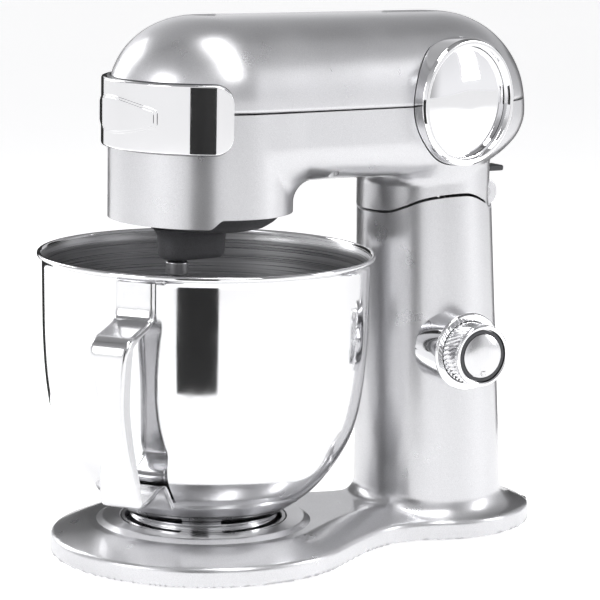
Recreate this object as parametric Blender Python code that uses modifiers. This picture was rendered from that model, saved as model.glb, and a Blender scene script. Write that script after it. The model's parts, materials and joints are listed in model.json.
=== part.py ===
"""Tilt-head stand mixer with a turn-and-lock steel bowl, in metres, +Z up.

While it is being built, the bowl's axis is the Z axis. The nose points along -Y and the speed dial
faces +X. At the end the whole mixer is shifted, so that the origin lies under the middle of its box.
"""

import math

import bmesh
import bpy
from mathutils import Vector

MM = 0.001
GAP = 0.3 * MM
WALL = 3.2 * MM

# The whole mixer.
BOWL_AXIS_Y = -68.3 * MM
HEAD_TOP = 361 * MM

# The base, whose front is round about the bowl, and the column on its rear lobe.
BASE_RADIUS = 103 * MM
BASE_FRONT_ARC = 32
BASE_SIDE = (
    (76, 71), (63, 92), (53.5, 112), (50.5, 128), (53, 148), (59.5, 168), (61.5, 188), (58, 208),
    (46, 231), (26, 249), (0, 256),
)
BASE_LEVELS = ((0.6, 1.5), (0, 2.5), (0, 12.4), (2.0, 14.4), (14, 19), (25, 22.5))
SEAT_TOP = 25 * MM
RECESS_RADIUS = 56 * MM
RECESS_FLOOR = 17 * MM
BASE_BOTTOM = 1.5 * MM
FOOT_RADIUS = 11 * MM
FOOT_PLACES = ((62, -55), (-62, -55), (38, 205), (-38, 205), (0, 92))

# The column: (z, radius, y of its middle), from below the base's top up into the head.
COLUMN_LEVELS = (
    (8, 55, 181), (20, 53, 180.5), (32, 51.3, 179.5), (90, 50, 177),
    (160, 48.2, 173.5), (206, 47, 171.8), (262, 46, 170),
)

# The seam between column and head, in the side view: y and z in millimetres.
SEAM = (
    (110, 226), (127, 226), (135, 230), (145, 235.4), (158, 238.2), (175, 238.9), (184, 237.2), (196, 232.2),
)
SEAM_GAP = 1.0 * MM
HINGE_Y = 206.5 * MM
HINGE_Z = 236.5 * MM
BARREL_RADIUS = 9.5 * MM
BARREL_CUT = 10.4 * MM
COLUMN_REAR_ANGLE = -40
HEAD_REAR_ANGLE = -20
EAR_INSIDE = 16 * MM
EAR_OUTSIDE = 24 * MM
PIN_RADIUS = 4 * MM

# The head: a drum over the bowl, an arm behind it, and a neck down to the column.
NOSE_RADIUS = 66 * MM
REAR_HALF_WIDTH = 58 * MM
REAR_START = 166 * MM
REAR_END = 244 * MM
NECK_REAR = 217 * MM
SPLIT_Z = 302 * MM
ARM_BOTTOM = 254 * MM
ARM_EDGE_RADIUS = 25 * MM
SHOULDER_START = 309 * MM
SHOULDER_INSET = 57 * MM
DOME_START = 292 * MM
DOME_INSET = 68 * MM
DRUM_BOTTOM = 228 * MM
DRUM_REAR = 53.5 * MM
DRUM_TOP = 275 * MM
SKIRT_STEP = 6.1 * MM
SKIRT_STEP_Y = -25 * MM

SCREW_X = 52 * MM
SCREW_Y = 66 * MM
SIDE_NAMES = {1: "right", -1: "left"}

# The trim on the head.
DISC_CENTER = (58 * MM, 166 * MM, 303.5 * MM)
DISC_RADIUS = 43 * MM
DISC_TURN = 11.4
COVER_RADIUS = 70.6 * MM
COVER_BOTTOM = 276 * MM
COVER_TOP = 321 * MM
COVER_HALF_ANGLE = 75
PLAQUE_HALF_ANGLE = 34
PLAQUE_HALF_HEIGHT = 12.5 * MM
PORT_RADIUS = 16 * MM
PORT_Z = 298.5 * MM

# The speed dial.
DIAL_Y = 168 * MM
DIAL_Z = 134 * MM
GRIP_GROOVES = 12

# The bowl.
BOWL_SHEET = 1.3 * MM
BOWL_FOOT_RADIUS = 50 * MM
HANDLE_AZIMUTH = -52.6
HANDLE_SHEET = 2.2 * MM
LUG_COUNT = 3

# The drive, on vertical shafts.
GEAR_MODULE = 1.5 * MM
PINION_TEETH = 12
WHEEL_TEETH = 36
SHAFT_SPACING = GEAR_MODULE * (PINION_TEETH + WHEEL_TEETH) / 2
PLANET_TEETH = 15
RING_TEETH = 45
ORBIT = 22 * MM
PLANET_MODULE = 2 * ORBIT / (RING_TEETH - PLANET_TEETH)
MOTOR_Y = 126 * MM
PULLEY_RADIUS = 32 * MM
MOTOR_PULLEY_RADIUS = 8 * MM
BELT_Z = 334 * MM

ROUND = 36
TURNED = 32
MEDIUM_ROUND = 20
SMALL_ROUND = 16


# ---------------------------------------------------------------- scene and helpers

def clear_scene():
    for obj in list(bpy.data.objects):
        bpy.data.objects.remove(obj, do_unlink=True)


def new_collection(name, hidden=False):
    group = bpy.data.collections.new(name)
    group.hide_render = hidden
    bpy.context.scene.collection.children.link(group)
    return group


clear_scene()
PARTS = new_collection("stand_mixer")
CUTTERS = new_collection("cutters", hidden=True)


def material(name, color, roughness, metallic=0.0):
    made = bpy.data.materials.new(name)
    made.use_nodes = True
    shader = made.node_tree.nodes["Principled BSDF"]
    shader.inputs["Base Color"].default_value = (*color, 1)
    shader.inputs["Roughness"].default_value = roughness
    shader.inputs["Metallic"].default_value = metallic
    return made


PAINT = material("silver_paint", (0.42, 0.42, 0.43), 0.28, 0.7)
CHROME = material("chrome_trim", (0.85, 0.85, 0.86), 0.06, 1.0)
STAINLESS = material("polished_stainless", (0.72, 0.72, 0.72), 0.12, 1.0)
STEEL = material("machined_steel", (0.55, 0.55, 0.56), 0.3, 1.0)
DARK = material("dark_plastic", (0.03, 0.03, 0.033), 0.4)
HUB_GREY = material("hub_grey", (0.12, 0.12, 0.125), 0.4, 0.4)
RUBBER = material("rubber_foot", (0.02, 0.02, 0.02), 0.8)
NYLON = material("gear_nylon", (0.75, 0.74, 0.7), 0.5)
COPPER = material("copper_winding", (0.72, 0.35, 0.16), 0.35, 1.0)
BOARD = material("circuit_board", (0.02, 0.16, 0.07), 0.5)
CASTING = material("raw_aluminium", (0.6, 0.6, 0.6), 0.45, 1.0)


def new_pivot(name, at, parent=None):
    """An empty that stands on a joint's axis."""
    empty = bpy.data.objects.new(name, None)
    empty.location = at
    empty.empty_display_size = 0.02
    PARTS.objects.link(empty)
    if parent:
        hang(empty, parent)
    return empty


def hang(obj, parent):
    """Parents obj and leaves it where it is."""
    bpy.context.view_layer.update()
    obj.parent = parent
    obj.matrix_parent_inverse = parent.matrix_world.inverted()


def shade(mesh, angle=35):
    mesh.shade_smooth()
    mesh.set_sharp_from_angle(angle=math.radians(angle))


def add_mesh(name, bm, mat, parent=None):
    bmesh.ops.recalc_face_normals(bm, faces=bm.faces)
    mesh = bpy.data.meshes.new(name)
    bm.to_mesh(mesh)
    bm.free()
    shade(mesh)
    obj = bpy.data.objects.new(name, mesh)
    PARTS.objects.link(obj)
    if mat:
        mesh.materials.append(mat)
    if parent:
        hang(obj, parent)
    return obj


def as_cutter(obj):
    """Turns a shape into a helper that the finished mixer leaves out."""
    for group in obj.users_collection:
        group.objects.unlink(obj)
    CUTTERS.objects.link(obj)
    obj.hide_render = True
    obj.display_type = "WIRE"
    return obj


def combine(obj, *others, operation="DIFFERENCE"):
    """Cuts the others from obj, or joins them to it. They hang on it, so that they move with it."""
    for other in others:
        modifier = obj.modifiers.new(other.name, "BOOLEAN")
        modifier.operation = operation
        modifier.object = as_cutter(other)
        hang(other, obj)
    return obj


def join(obj, *others):
    return combine(obj, *others, operation="UNION")


def loft_mesh(rings):
    """A closed skin through rings of equally many points, with a flat cap at each end."""
    bm = bmesh.new()
    loops = [[bm.verts.new(point) for point in ring] for ring in rings]
    count = len(rings[0])
    for low, high in zip(loops, loops[1:]):
        for i in range(count):
            j = (i + 1) % count
            bm.faces.new((low[i], low[j], high[j], high[i]))
    bm.faces.new(loops[0])
    bm.faces.new(loops[-1])
    return bm


def loft(name, rings, mat=None, parent=None):
    return add_mesh(name, loft_mesh(rings), mat, parent)


def prism(name, outline, low, high, mat=None, parent=None):
    """An outline of (x, y) points, extruded from z = low to z = high."""
    rings = [[Vector((x, y, z)) for x, y in outline] for z in (low, high)]
    return loft(name, rings, mat, parent)


def side_prism(name, outline, half_width, mat=None, parent=None):
    """An outline of (y, z) points, extruded across the mixer."""
    rings = [[Vector((x, y, z)) for y, z in outline] for x in (-half_width, half_width)]
    return loft(name, rings, mat, parent)


def box(name, low, high, mat=None, parent=None):
    bm = bmesh.new()
    bmesh.ops.create_cube(bm, size=1)
    low, high = Vector(low), Vector(high)
    for vert in bm.verts:
        vert.co = [(a + b) / 2 + c * (b - a) for a, b, c in zip(low, high, vert.co)]
    return add_mesh(name, bm, mat, parent)


def turned(name, profile, mat=None, parent=None, at=(0, 0, 0), turn=None, steps=TURNED):
    """A profile of (radius, z) points in millimetres, listed down its outer side, spun about Z."""
    on_axis = profile[0][0] == 0 and profile[-1][0] == 0
    bm = bmesh.new()
    verts = [bm.verts.new((radius * MM, 0, z * MM)) for radius, z in profile]
    for start, end in zip(verts, verts[1:]):
        bm.edges.new((start, end))
    if not on_axis:
        bm.edges.new((verts[-1], verts[0]))
    mesh = bpy.data.meshes.new(name)
    bm.to_mesh(mesh)
    bm.free()
    obj = bpy.data.objects.new(name, mesh)
    PARTS.objects.link(obj)
    if mat:
        mesh.materials.append(mat)
    screw = obj.modifiers.new("spin", "SCREW")
    screw.steps = screw.render_steps = steps
    screw.use_merge_vertices = True
    screw.merge_threshold = 0.00001
    screw.use_smooth_shade = True
    obj.location = at
    if turn:
        obj.rotation_euler = turn
    if parent:
        hang(obj, parent)
    return obj


def rod(name, radius, low, high, mat=None, parent=None, at=(0, 0), steps=SMALL_ROUND):
    """An upright cylinder; lengths in metres."""
    r, bottom, top = radius / MM, low / MM, high / MM
    profile = ((0, top), (r, top), (r, bottom), (0, bottom))
    return turned(name, profile, mat, parent, (*at, 0), steps=steps)


def cross_rod(name, radius, left, right, y, z, mat=None, parent=None, steps=SMALL_ROUND):
    """A cylinder that lies across the mixer, along X."""
    profile = ((0, right / MM), (radius / MM, right / MM), (radius / MM, left / MM), (0, left / MM))
    return turned(name, profile, mat, parent, (0, y, z), (0, math.pi / 2, 0), steps)


def arc(center, radius, start, end, count):
    """Points on an arc, angles in degrees, both ends included."""
    points = []
    for i in range(count):
        angle = math.radians(start + (end - start) * i / (count - 1))
        points.append((center[0] + radius * math.cos(angle), center[1] + radius * math.sin(angle)))
    return points


def circle(center, radius, count=ROUND):
    return arc(center, radius, 0, 360 - 360 / count, count)


def smooth_curve(points, steps):
    """A Catmull-Rom curve through the points, both ends included."""
    ends = [points[0], *points, points[-1]]
    found = []
    for a, b, c, d in zip(ends, ends[1:], ends[2:], ends[3:]):
        for i in range(steps):
            t = i / steps
            shares = (-t + 2 * t ** 2 - t ** 3, 2 - 5 * t ** 2 + 3 * t ** 3, t + 4 * t ** 2 - 3 * t ** 3, t ** 3 - t ** 2)
            spot = [sum(share * value for share, value in zip(shares, four)) / 2 for four in zip(a, b, c, d)]
            found.append(tuple(spot))
    return [*found, tuple(points[-1])]


def inset(outline, distance):
    """The outline, which runs anticlockwise, moved inwards along its own normals."""
    count = len(outline)
    moved = []
    for i, (x, y) in enumerate(outline):
        before, after = outline[i - 1], outline[(i + 1) % count]
        along = Vector((after[0] - before[0], after[1] - before[1])).normalized()
        moved.append((x - along.y * distance, y + along.x * distance))
    return moved


def mirrored(half):
    """A closed outline from its right half, which starts and ends on the middle line."""
    return [*half, *[(-x, y) for x, y in half[-2:0:-1]]]


# ---------------------------------------------------------------- base and column

def base_outline():
    front = arc((0, 0), BASE_RADIUS, -90, BASE_FRONT_ARC, 12)
    side = smooth_curve([(x * MM, y * MM) for x, y in BASE_SIDE], 2)
    return mirrored([*front, *side])


def base_rings(levels, wall=0.0):
    """The levels of the base, or of its hollow when a wall is given."""
    outline = base_outline()
    rings = []
    for distance, height in levels:
        level = inset(outline, distance * MM + wall)
        rings.append([Vector((x, y, height * MM - wall)) for x, y in level])
    return rings


def column_rings(wall=0.0, low=0.0, high=1.0):
    rings = []
    for z, radius, y in COLUMN_LEVELS:
        if low <= z * MM <= high:
            outline = circle((0, y * MM), radius * MM - wall)
            rings.append([Vector((px, py, z * MM)) for px, py in outline])
    return rings


def seam_profile(lift, barrel, last_angle):
    """The seam in the side view, from the neck's front round the hinge barrel and out at the rear."""
    seam = [(y * MM, z * MM + lift) for y, z in SEAM]
    around = arc((HINGE_Y, HINGE_Z), barrel, -150, last_angle, 8)
    return [*seam, *around, (0.3, around[-1][1])]


def build_base(root):
    base = loft("base_casting", base_rings(BASE_LEVELS), PAINT, root)
    seat = turned(
        "seat_ring",
        ((0, 25), (68, 25), (70, 24.6), (75, 21), (75, 10), (0, 10)),
    )
    column = loft("column_outside", column_rings())
    join(base, seat, column)

    profile = seam_profile(-SEAM_GAP, BARREL_CUT, COLUMN_REAR_ANGLE)
    above = [*profile, (0.3, HEAD_TOP), (profile[0][0], HEAD_TOP)]
    ears = []
    for side in (-1, 1):
        middle = side * (EAR_INSIDE + EAR_OUTSIDE) / 2
        half = (EAR_OUTSIDE - EAR_INSIDE) / 2
        knuckle = cross_rod(f"knuckle_{side}", BARREL_RADIUS, middle - half, middle + half, HINGE_Y, HINGE_Z)
        web = box(
            f"knuckle_web_{side}",
            (middle - half + 0.4 * MM, HINGE_Y - 7 * MM, HINGE_Z - 24 * MM),
            (middle + half - 0.4 * MM, HINGE_Y + 5 * MM, HINGE_Z - 3 * MM),
        )
        ears += [knuckle, web]
    combine(base, side_prism("head_space", above, 80 * MM))
    combine(base, box("latch_slot", (-5.5 * MM, 165 * MM, 217 * MM), (5.5 * MM, 199 * MM, 250 * MM)))

    hollow = loft("base_hollow", base_rings(BASE_LEVELS[1:-1], WALL))
    column_hollow = loft("column_hollow", column_rings(WALL, high=210 * MM))
    recess = rod("seat_recess", RECESS_RADIUS, RECESS_FLOOR, 40 * MM, steps=ROUND)
    keep = rod("recess_wall", RECESS_RADIUS + WALL, RECESS_FLOOR - WALL, SEAT_TOP - 1 * MM, steps=ROUND)
    combine(hollow, keep)
    combine(base, hollow, column_hollow, recess)
    join(base, *ears)
    combine(base, cross_rod("pin_bore_base", PIN_RADIUS + GAP, -26 * MM, 26 * MM, HINGE_Y, HINGE_Z))
    combine(base, cross_rod("dial_bore", 7 * MM, 20 * MM, 80 * MM, DIAL_Y, DIAL_Z))
    combine(base, box("cord_opening", (-7.3 * MM, 230 * MM, 4.2 * MM), (7.3 * MM, 270 * MM, 10.8 * MM)))
    return base


def build_underside(root):
    outline = inset(base_outline(), WALL + 2 * GAP)
    cover = prism("bottom_cover", outline, BASE_BOTTOM + 0.5 * MM, BASE_BOTTOM + 2.3 * MM, DARK, root)
    for number, (x, y) in enumerate(FOOT_PLACES, 1):
        spot = (x * MM, y * MM)
        rod(f"rubber_foot_{number}", FOOT_RADIUS, 0, BASE_BOTTOM + 0.2 * MM, RUBBER, root, spot)
        stem = rod(f"rubber_stem_{number}", 4 * MM, 0.5 * MM, 6 * MM, at=spot)
        join(bpy.data.objects[f"rubber_foot_{number}"], stem)
        combine(cover, rod(f"foot_bore_{number}", 4 * MM + GAP, 0, 8 * MM, at=spot))
    gland = box("cord_gland", (-7 * MM, 249 * MM, 4.5 * MM), (7 * MM, 262 * MM, 10.5 * MM), DARK, root)
    bevel = gland.modifiers.new("soft edges", "BEVEL")
    bevel.width = 1.5 * MM
    bevel.segments = 2
    combine(gland, box("cord_hole", (-4 * MM, 240 * MM, 5.8 * MM), (4 * MM, 270 * MM, 9.2 * MM)))


def build_clamp_plate(root):
    """The plate in the recess that the bowl's lugs turn under."""
    plate = turned(
        "bowl_clamp_plate",
        ((20, 19.3), (53.3, 19.3), (53.3, 24.8), (55.6, 24.8), (55.6, 17.4), (20, 17.4)),
        STEEL,
        root,
    )
    for number in range(LUG_COUNT):
        middle = 90 + 360 * number / LUG_COUNT
        tab = arc((0, 0), 54.5 * MM, middle - 16, middle + 16, 7)
        tab += arc((0, 0), 50.8 * MM, middle + 16, middle - 16, 7)
        join(plate, prism(f"clamp_tab_{number}", tab, 23.4 * MM, 24.8 * MM))
    return plate


def build_dial(root):
    at = (0, DIAL_Y, DIAL_Z)
    across = (0, math.pi / 2, 0)
    collar = turned(
        "dial_collar",
        ((21.5, 66), (25.5, 66), (26.7, 64.5), (26.7, 49), (30, 44), (21.5, 44)),
        CHROME, root, at, across,
    )
    combine(collar, loft("column_under_collar", column_rings(-GAP)))
    turned(
        "speed_sensor",
        ((5, 38), (12, 38), (12, 28), (5, 28)),
        DARK, root, at, across, SMALL_ROUND,
    )
    box(
        "control_board",
        (20 * MM, DIAL_Y - 24 * MM, DIAL_Z - 34 * MM),
        (21.6 * MM, DIAL_Y + 26 * MM, DIAL_Z + 34 * MM),
        BOARD, root,
    )
    axis = new_pivot("dial_axis", at, root)
    knob = turned(
        "dial_knob",
        ((17.8, 79.5), (18.6, 83), (20.2, 83), (21, 82), (21, 60), (4.5, 60), (4.5, 24), (0, 24), (0, 79.5)),
        CHROME, axis, at, across,
    )
    for number in range(GRIP_GROOVES):
        angle = 2 * math.pi * number / GRIP_GROOVES
        groove = rod(f"dial_groove_{number}", 1.2 * MM, 67.5 * MM, 90 * MM, steps=6)
        groove.location = (0, DIAL_Y + 21.3 * MM * math.cos(angle), DIAL_Z + 21.3 * MM * math.sin(angle))
        groove.rotation_euler = across
        combine(knob, groove)
    turned(
        "dial_light_ring",
        ((15.2, 82.3), (17.4, 82.3), (17.4, 79.8), (15.2, 79.8)),
        DARK, axis, at, across,
    )
    cap = turned(
        "dial_cap",
        ((0, 84.6), (8, 84.4), (13.6, 83.4), (14.8, 82.4), (14.8, 79.8), (0, 79.8)),
        STEEL, axis, at, across,
    )
    bump = box(
        "dial_pointer",
        (82 * MM, DIAL_Y - 1.2 * MM, DIAL_Z - 13.6 * MM),
        (84.6 * MM, DIAL_Y + 1.2 * MM, DIAL_Z - 10.4 * MM),
    )
    join(cap, bump)


# ---------------------------------------------------------------- head housings

def rounding(amount):
    """How far a quarter circle of radius 1 has come in at this share of its height."""
    share = min(max(amount, 0.0), 1.0)
    return 1 - math.sqrt(1 - share * share)


def head_outline(nose_radius, half_width, rear_end):
    """Two circles joined by their tangents, with the rear one stretched back to rear_end."""
    lean = math.degrees(math.asin((nose_radius - half_width) / REAR_START))
    nose = arc((0, 0), nose_radius, -90, lean, 11)
    rear = arc((0, 0), half_width, lean, 90, 9)
    stretch = (rear_end - REAR_START) / half_width
    outline = [*nose]
    for x, y in rear:
        outline.append((x, REAR_START + y * (stretch if y > 0 else 1)))
    outline[-1] = (0.0, rear_end)
    return mirrored(outline)


def head_ring(z, wall=0.0):
    """The head's outline at height z, or that of its hollow when a wall is given."""
    shoulder = rounding((z - SHOULDER_START) / (HEAD_TOP - SHOULDER_START))
    dome = rounding((z - DOME_START) / (HEAD_TOP - DOME_START))
    edge = ARM_EDGE_RADIUS * rounding((ARM_BOTTOM + ARM_EDGE_RADIUS - z) / ARM_EDGE_RADIUS)
    neck = min(max((DOME_START - z) / (DOME_START - HINGE_Z - 8 * MM), 0.0), 1.0)
    rear_end = REAR_END - DOME_INSET * dome - (REAR_END - NECK_REAR) * (1 - math.cos(math.pi * neck)) / 2
    steep = 1 - shoulder
    inward = edge + wall * steep
    outline = head_outline(
        NOSE_RADIUS - SHOULDER_INSET * shoulder - inward,
        REAR_HALF_WIDTH - (SHOULDER_INSET - 7 * MM) * shoulder - inward,
        rear_end - wall * steep,
    )
    level = z - wall * math.sqrt(1 - steep * steep)
    return [Vector((x, y, level)) for x, y in outline]


def upper_levels():
    heights = [SPLIT_Z + GAP / 2, SHOULDER_START]
    rise = HEAD_TOP - SHOULDER_START
    return heights + [SHOULDER_START + rise * math.sin(math.radians(angle)) for angle in range(18, 91, 18)]


def lower_levels():
    middle = ARM_BOTTOM + ARM_EDGE_RADIUS
    heights = [middle - ARM_EDGE_RADIUS * math.cos(math.radians(angle)) for angle in (0, 30, 60, 90)]
    return heights + [DOME_START, SPLIT_Z - GAP / 2]


def drum_outline(wall=0.0):
    radius = NOSE_RADIUS - wall
    depth = DRUM_REAR - wall
    outline = []
    for i in range(ROUND):
        angle = 2 * math.pi * i / ROUND
        reach = depth if math.sin(angle) > 0 else radius
        outline.append((radius * math.cos(angle), reach * math.sin(angle)))
    return outline


def disc_turn(side):
    """The turn that lays a turned piece's axis along the disc's outward normal, on side 1 or -1."""
    return (0, side * math.pi / 2, side * math.radians(DISC_TURN))


def disc_spot(side):
    return (side * DISC_CENTER[0], DISC_CENTER[1], DISC_CENTER[2])


def disc_recesses():
    profile = ((0, 60), (DISC_RADIUS / MM + 0.3, 60), (DISC_RADIUS / MM + 0.3, -14.3), (0, -14.3))
    return [
        turned(f"disc_recess_{side}", profile, at=disc_spot(side), turn=disc_turn(side)) for side in (1, -1)
    ]


def port_cut(name):
    profile = ((0, 90), (PORT_RADIUS / MM, 90), (PORT_RADIUS / MM, 42), (0, 42))
    return turned(name, profile, at=(0, 0, PORT_Z), turn=(math.pi / 2, 0, 0), steps=SMALL_ROUND)


def build_upper_housing(head):
    housing = loft("upper_housing", [head_ring(z) for z in upper_levels()], PAINT, head)
    inner = [head_ring(z, WALL) for z in upper_levels()]
    under = [Vector((p.x, p.y, SPLIT_Z - 10 * MM)) for p in inner[0]]
    combine(housing, loft("upper_hollow", [under, *inner]), port_cut("port_above"), *disc_recesses())


def build_lower_housing(head):
    housing = loft("lower_housing", [head_ring(z) for z in lower_levels()], PAINT, head)
    drum = prism("drum_outside", drum_outline(), DRUM_BOTTOM, DRUM_TOP)
    neck = loft("neck_outside", [
        [Vector((x, y, z)) for x, y in circle((0, 170 * MM), 46 * MM)] for z in (215 * MM, 285 * MM)
    ])
    join(housing, drum, neck)

    profile = seam_profile(SEAM_GAP, BARREL_RADIUS, HEAD_REAR_ANGLE)
    below = [*profile, (0.3, 0.2), (profile[0][0], 0.2)]
    combine(housing, side_prism("column_space", below, 80 * MM))
    for side in (-1, 1):
        middle = side * (EAR_INSIDE + EAR_OUTSIDE) / 2
        half = (EAR_OUTSIDE - EAR_INSIDE) / 2 + 0.5 * MM
        ends = (middle - half, middle + half)
        combine(housing, cross_rod(f"ear_space_{side}", BARREL_CUT, *ends, HINGE_Y, HINGE_Z))
    combine(housing, cross_rod("pin_bore_head", PIN_RADIUS + GAP, -26 * MM, 26 * MM, HINGE_Y, HINGE_Z))

    inner = [head_ring(z, WALL) for z in lower_levels()]
    for ring in inner[:2]:
        for point in ring:
            point.z = max(point.z, ARM_BOTTOM + WALL)
    inner[0] = [Vector((p.x, p.y, ARM_BOTTOM + WALL - 0.1 * MM)) for p in inner[0]]
    over = [Vector((p.x, p.y, SPLIT_Z + 10 * MM)) for p in inner[-1]]
    arm_hollow = loft("arm_hollow", [*inner, over])
    drum_hollow = prism("drum_hollow", drum_outline(WALL), 0.2, DRUM_TOP - 1 * MM)
    neck_hollow = prism("neck_hollow", circle((0, 170 * MM), 46 * MM - WALL), 251 * MM, 280 * MM)
    step = box("skirt_step", (-0.1, SKIRT_STEP_Y, 0.2), (0.1, 0.08, DRUM_BOTTOM + SKIRT_STEP))
    latch = box("latch_way", (-5.5 * MM, 184 * MM, 223 * MM), (5.5 * MM, 199 * MM, 262 * MM))
    lever = box("lever_slot", (-8.5 * MM, 196 * MM, 246.9 * MM), (8.5 * MM, 250 * MM, 257 * MM))
    combine(housing, step, arm_hollow, drum_hollow, neck_hollow, latch, lever)
    combine(housing, port_cut("port_below"), *disc_recesses())
    for side in (-1, 1):
        spot = (side * SCREW_X, SCREW_Y)
        join(housing, rod(f"screw_post_{side}", 6 * MM, 266 * MM, 299 * MM, at=spot))
        combine(housing, rod(f"screw_way_{side}", 3.6 * MM, 0.2, 270 * MM, at=spot))
        combine(housing, rod(f"screw_bore_{side}", 2.3 * MM, 260 * MM, 294 * MM, at=spot, steps=12))
        turned(
            f"housing_screw_{SIDE_NAMES[side]}",
            ((0, 292), (2, 292), (2, 269.6), (3.3, 269.6), (3.3, 266.6), (1.4, 266.6), (1.4, 268), (0, 268)),
            STEEL, head, (*spot, 0), steps=12,
        )


def build_trim(head):
    for side, name in SIDE_NAMES.items():
        turned(
            f"side_trim_ring_{name}",
            (
                (0, -12.5), (37.5, -12.5), (37.5, 1.5), (38.8, 3.6),
                (41.4, 3.6), (43, 1.6), (43, -14), (0, -14),
            ),
            CHROME, head, disc_spot(side), disc_turn(side),
        )
        turned(
            f"side_medallion_{name}",
            ((0, 3.4), (18, 2.8), (30, 1.2), (36.3, -0.8), (37.2, -2), (37.2, -5), (0, -5)),
            CHROME, head, disc_spot(side), disc_turn(side),
        )
    turned(
        "accessory_socket",
        ((9, 63.5), (15.6, 63.5), (15.6, 46), (19, 46), (19, 42.5), (9, 42.5)),
        CASTING, head, (0, 0, PORT_Z), (math.pi / 2, 0, 0), SMALL_ROUND,
    )


def wrapped_plate(name, inner, outer, half_angle, low, high, corner, mat, parent):
    """A plate with round corners that wraps round the nose, lofted strip by strip."""
    middle, half_height = (low + high) / 2, (high - low) / 2
    sweep = math.degrees(corner / outer)
    ends = [(half_angle - sweep * (1 - math.sin(math.radians(a))), a) for a in (90, 67, 45, 22, 0)]
    stations = [(angle, half_height - corner * (1 - math.cos(math.radians(a)))) for angle, a in ends]
    flat = half_angle - sweep
    strips = [(-angle, height) for angle, height in stations[:4]]
    strips += [(flat * (i / 6 - 1), half_height) for i in range(13)]
    strips += [(angle, height) for angle, height in reversed(stations[:4])]
    rings = []
    for angle, height in strips:
        across = Vector((math.sin(math.radians(angle)), -math.cos(math.radians(angle)), 0))
        rings.append([
            across * radius + Vector((0, 0, middle + shift))
            for radius, shift in ((inner, -height), (outer, -height), (outer, height), (inner, height))
        ])
    return loft(name, rings, mat, parent)


# ---------------------------------------------------------------- drive

def gear_outline(teeth, module, phase, center=(0, 0), slack=0.25 * MM, tip=0.85, root=1.15):
    """Involute teeth, one of them centred on the phase angle in degrees."""
    pitch = teeth * module / 2
    base = pitch * math.cos(math.radians(20))

    def involute(radius):
        angle = math.acos(min(base / radius, 1))
        return math.tan(angle) - angle

    radii = (pitch - root * module, pitch + tip * module)
    half_angles = [math.pi / 2 / teeth - slack / pitch + involute(pitch) - involute(r) for r in radii]
    flank = [(radius, -angle) for radius, angle in zip(radii, half_angles)]
    tooth = flank + [(radius, -angle) for radius, angle in reversed(flank)]
    outline = []
    for number in range(teeth):
        turn = math.radians(phase) + 2 * math.pi * number / teeth
        for radius, angle in tooth:
            outline.append((
                center[0] + radius * math.cos(turn + angle),
                center[1] + radius * math.sin(turn + angle),
            ))
    return outline


def pinion_shaft(name, phase, center, low, high, teeth_low, teeth_high, parent):
    """A shaft with a small gear cut on it, in one piece."""
    shaft = rod(name, 4 * MM, low * MM, high * MM, STEEL, parent, center)
    outline = gear_outline(PINION_TEETH, GEAR_MODULE, phase)
    teeth = prism(f"{name}_teeth", outline, teeth_low * MM, teeth_high * MM)
    teeth.location = (*center, 0)
    return join(shaft, teeth)


def gear(name, teeth, phase, center, low, high, bore, mat, parent, module=GEAR_MODULE):
    wheel = prism(name, gear_outline(teeth, module, phase, center), low * MM, high * MM, mat, parent)
    return combine(wheel, rod(f"{name}_bore", bore * MM, low * MM - 1 * MM, high * MM + 1 * MM, at=center))


def build_planetary(head):
    carrier = new_pivot("planetary_axis", (0, 0, DRUM_BOTTOM), head)
    hub = turned(
        "planetary_hub",
        ((0, 236), (30, 236), (48.4, 233.6), (49.4, 232), (49, 229.6), (39, 222.4), (0, 222.4)),
        HUB_GREY, carrier,
    )
    boss = []
    for grow, z in ((1.5, 224), (0.5, 205), (-0.8, 202.2), (-3, 201)):
        near = arc((0, 0), (12 + grow) * MM, 0, 180, 13)
        far = arc((0, -ORBIT), (13 + grow) * MM, 180, 360, 13)
        boss.append([Vector((x, y, z * MM)) for x, y in [*near, *far]])
    join(hub, loft("hub_boss", boss))
    combine(hub, rod("hub_shaft_bore", 5.4 * MM, 190 * MM, 240 * MM, at=(0, -ORBIT)))
    combine(hub, rod("hub_center_bore", 6.3 * MM, 226 * MM, 240 * MM))
    rod("central_shaft", 6 * MM, 226.4 * MM, 271 * MM, STEEL, carrier)
    gear("main_gear", WHEEL_TEETH, 90, (0, 0), 262, 269, 6.3, STEEL, carrier)

    spin = new_pivot("beater_axis", (0, -ORBIT, DRUM_BOTTOM), carrier)
    spot = (0, -ORBIT, 0)
    shaft = turned(
        "beater_shaft",
        ((0, 248), (5, 248), (5, 200.4), (7.5, 198.6), (7.5, 191.4), (5, 190), (5, 159), (4, 158), (0, 158)),
        STEEL, spin, spot, steps=SMALL_ROUND,
    )
    combine(shaft, cross_rod("beater_pin_bore", 1.8 * MM, -6 * MM, 6 * MM, -ORBIT, 168 * MM, steps=12))
    cross_rod("beater_pin", 1.5 * MM, -9 * MM, 9 * MM, -ORBIT, 168 * MM, STEEL, spin, 12)
    gear("planet_pinion", PLANET_TEETH, -90, (0, -ORBIT), 238.5, 246, 5.3, STEEL, spin, PLANET_MODULE)
    coil("beater_spring", 6.5, 1.0, 175, 189, 4, STEEL, spin, (0, -ORBIT))


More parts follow.
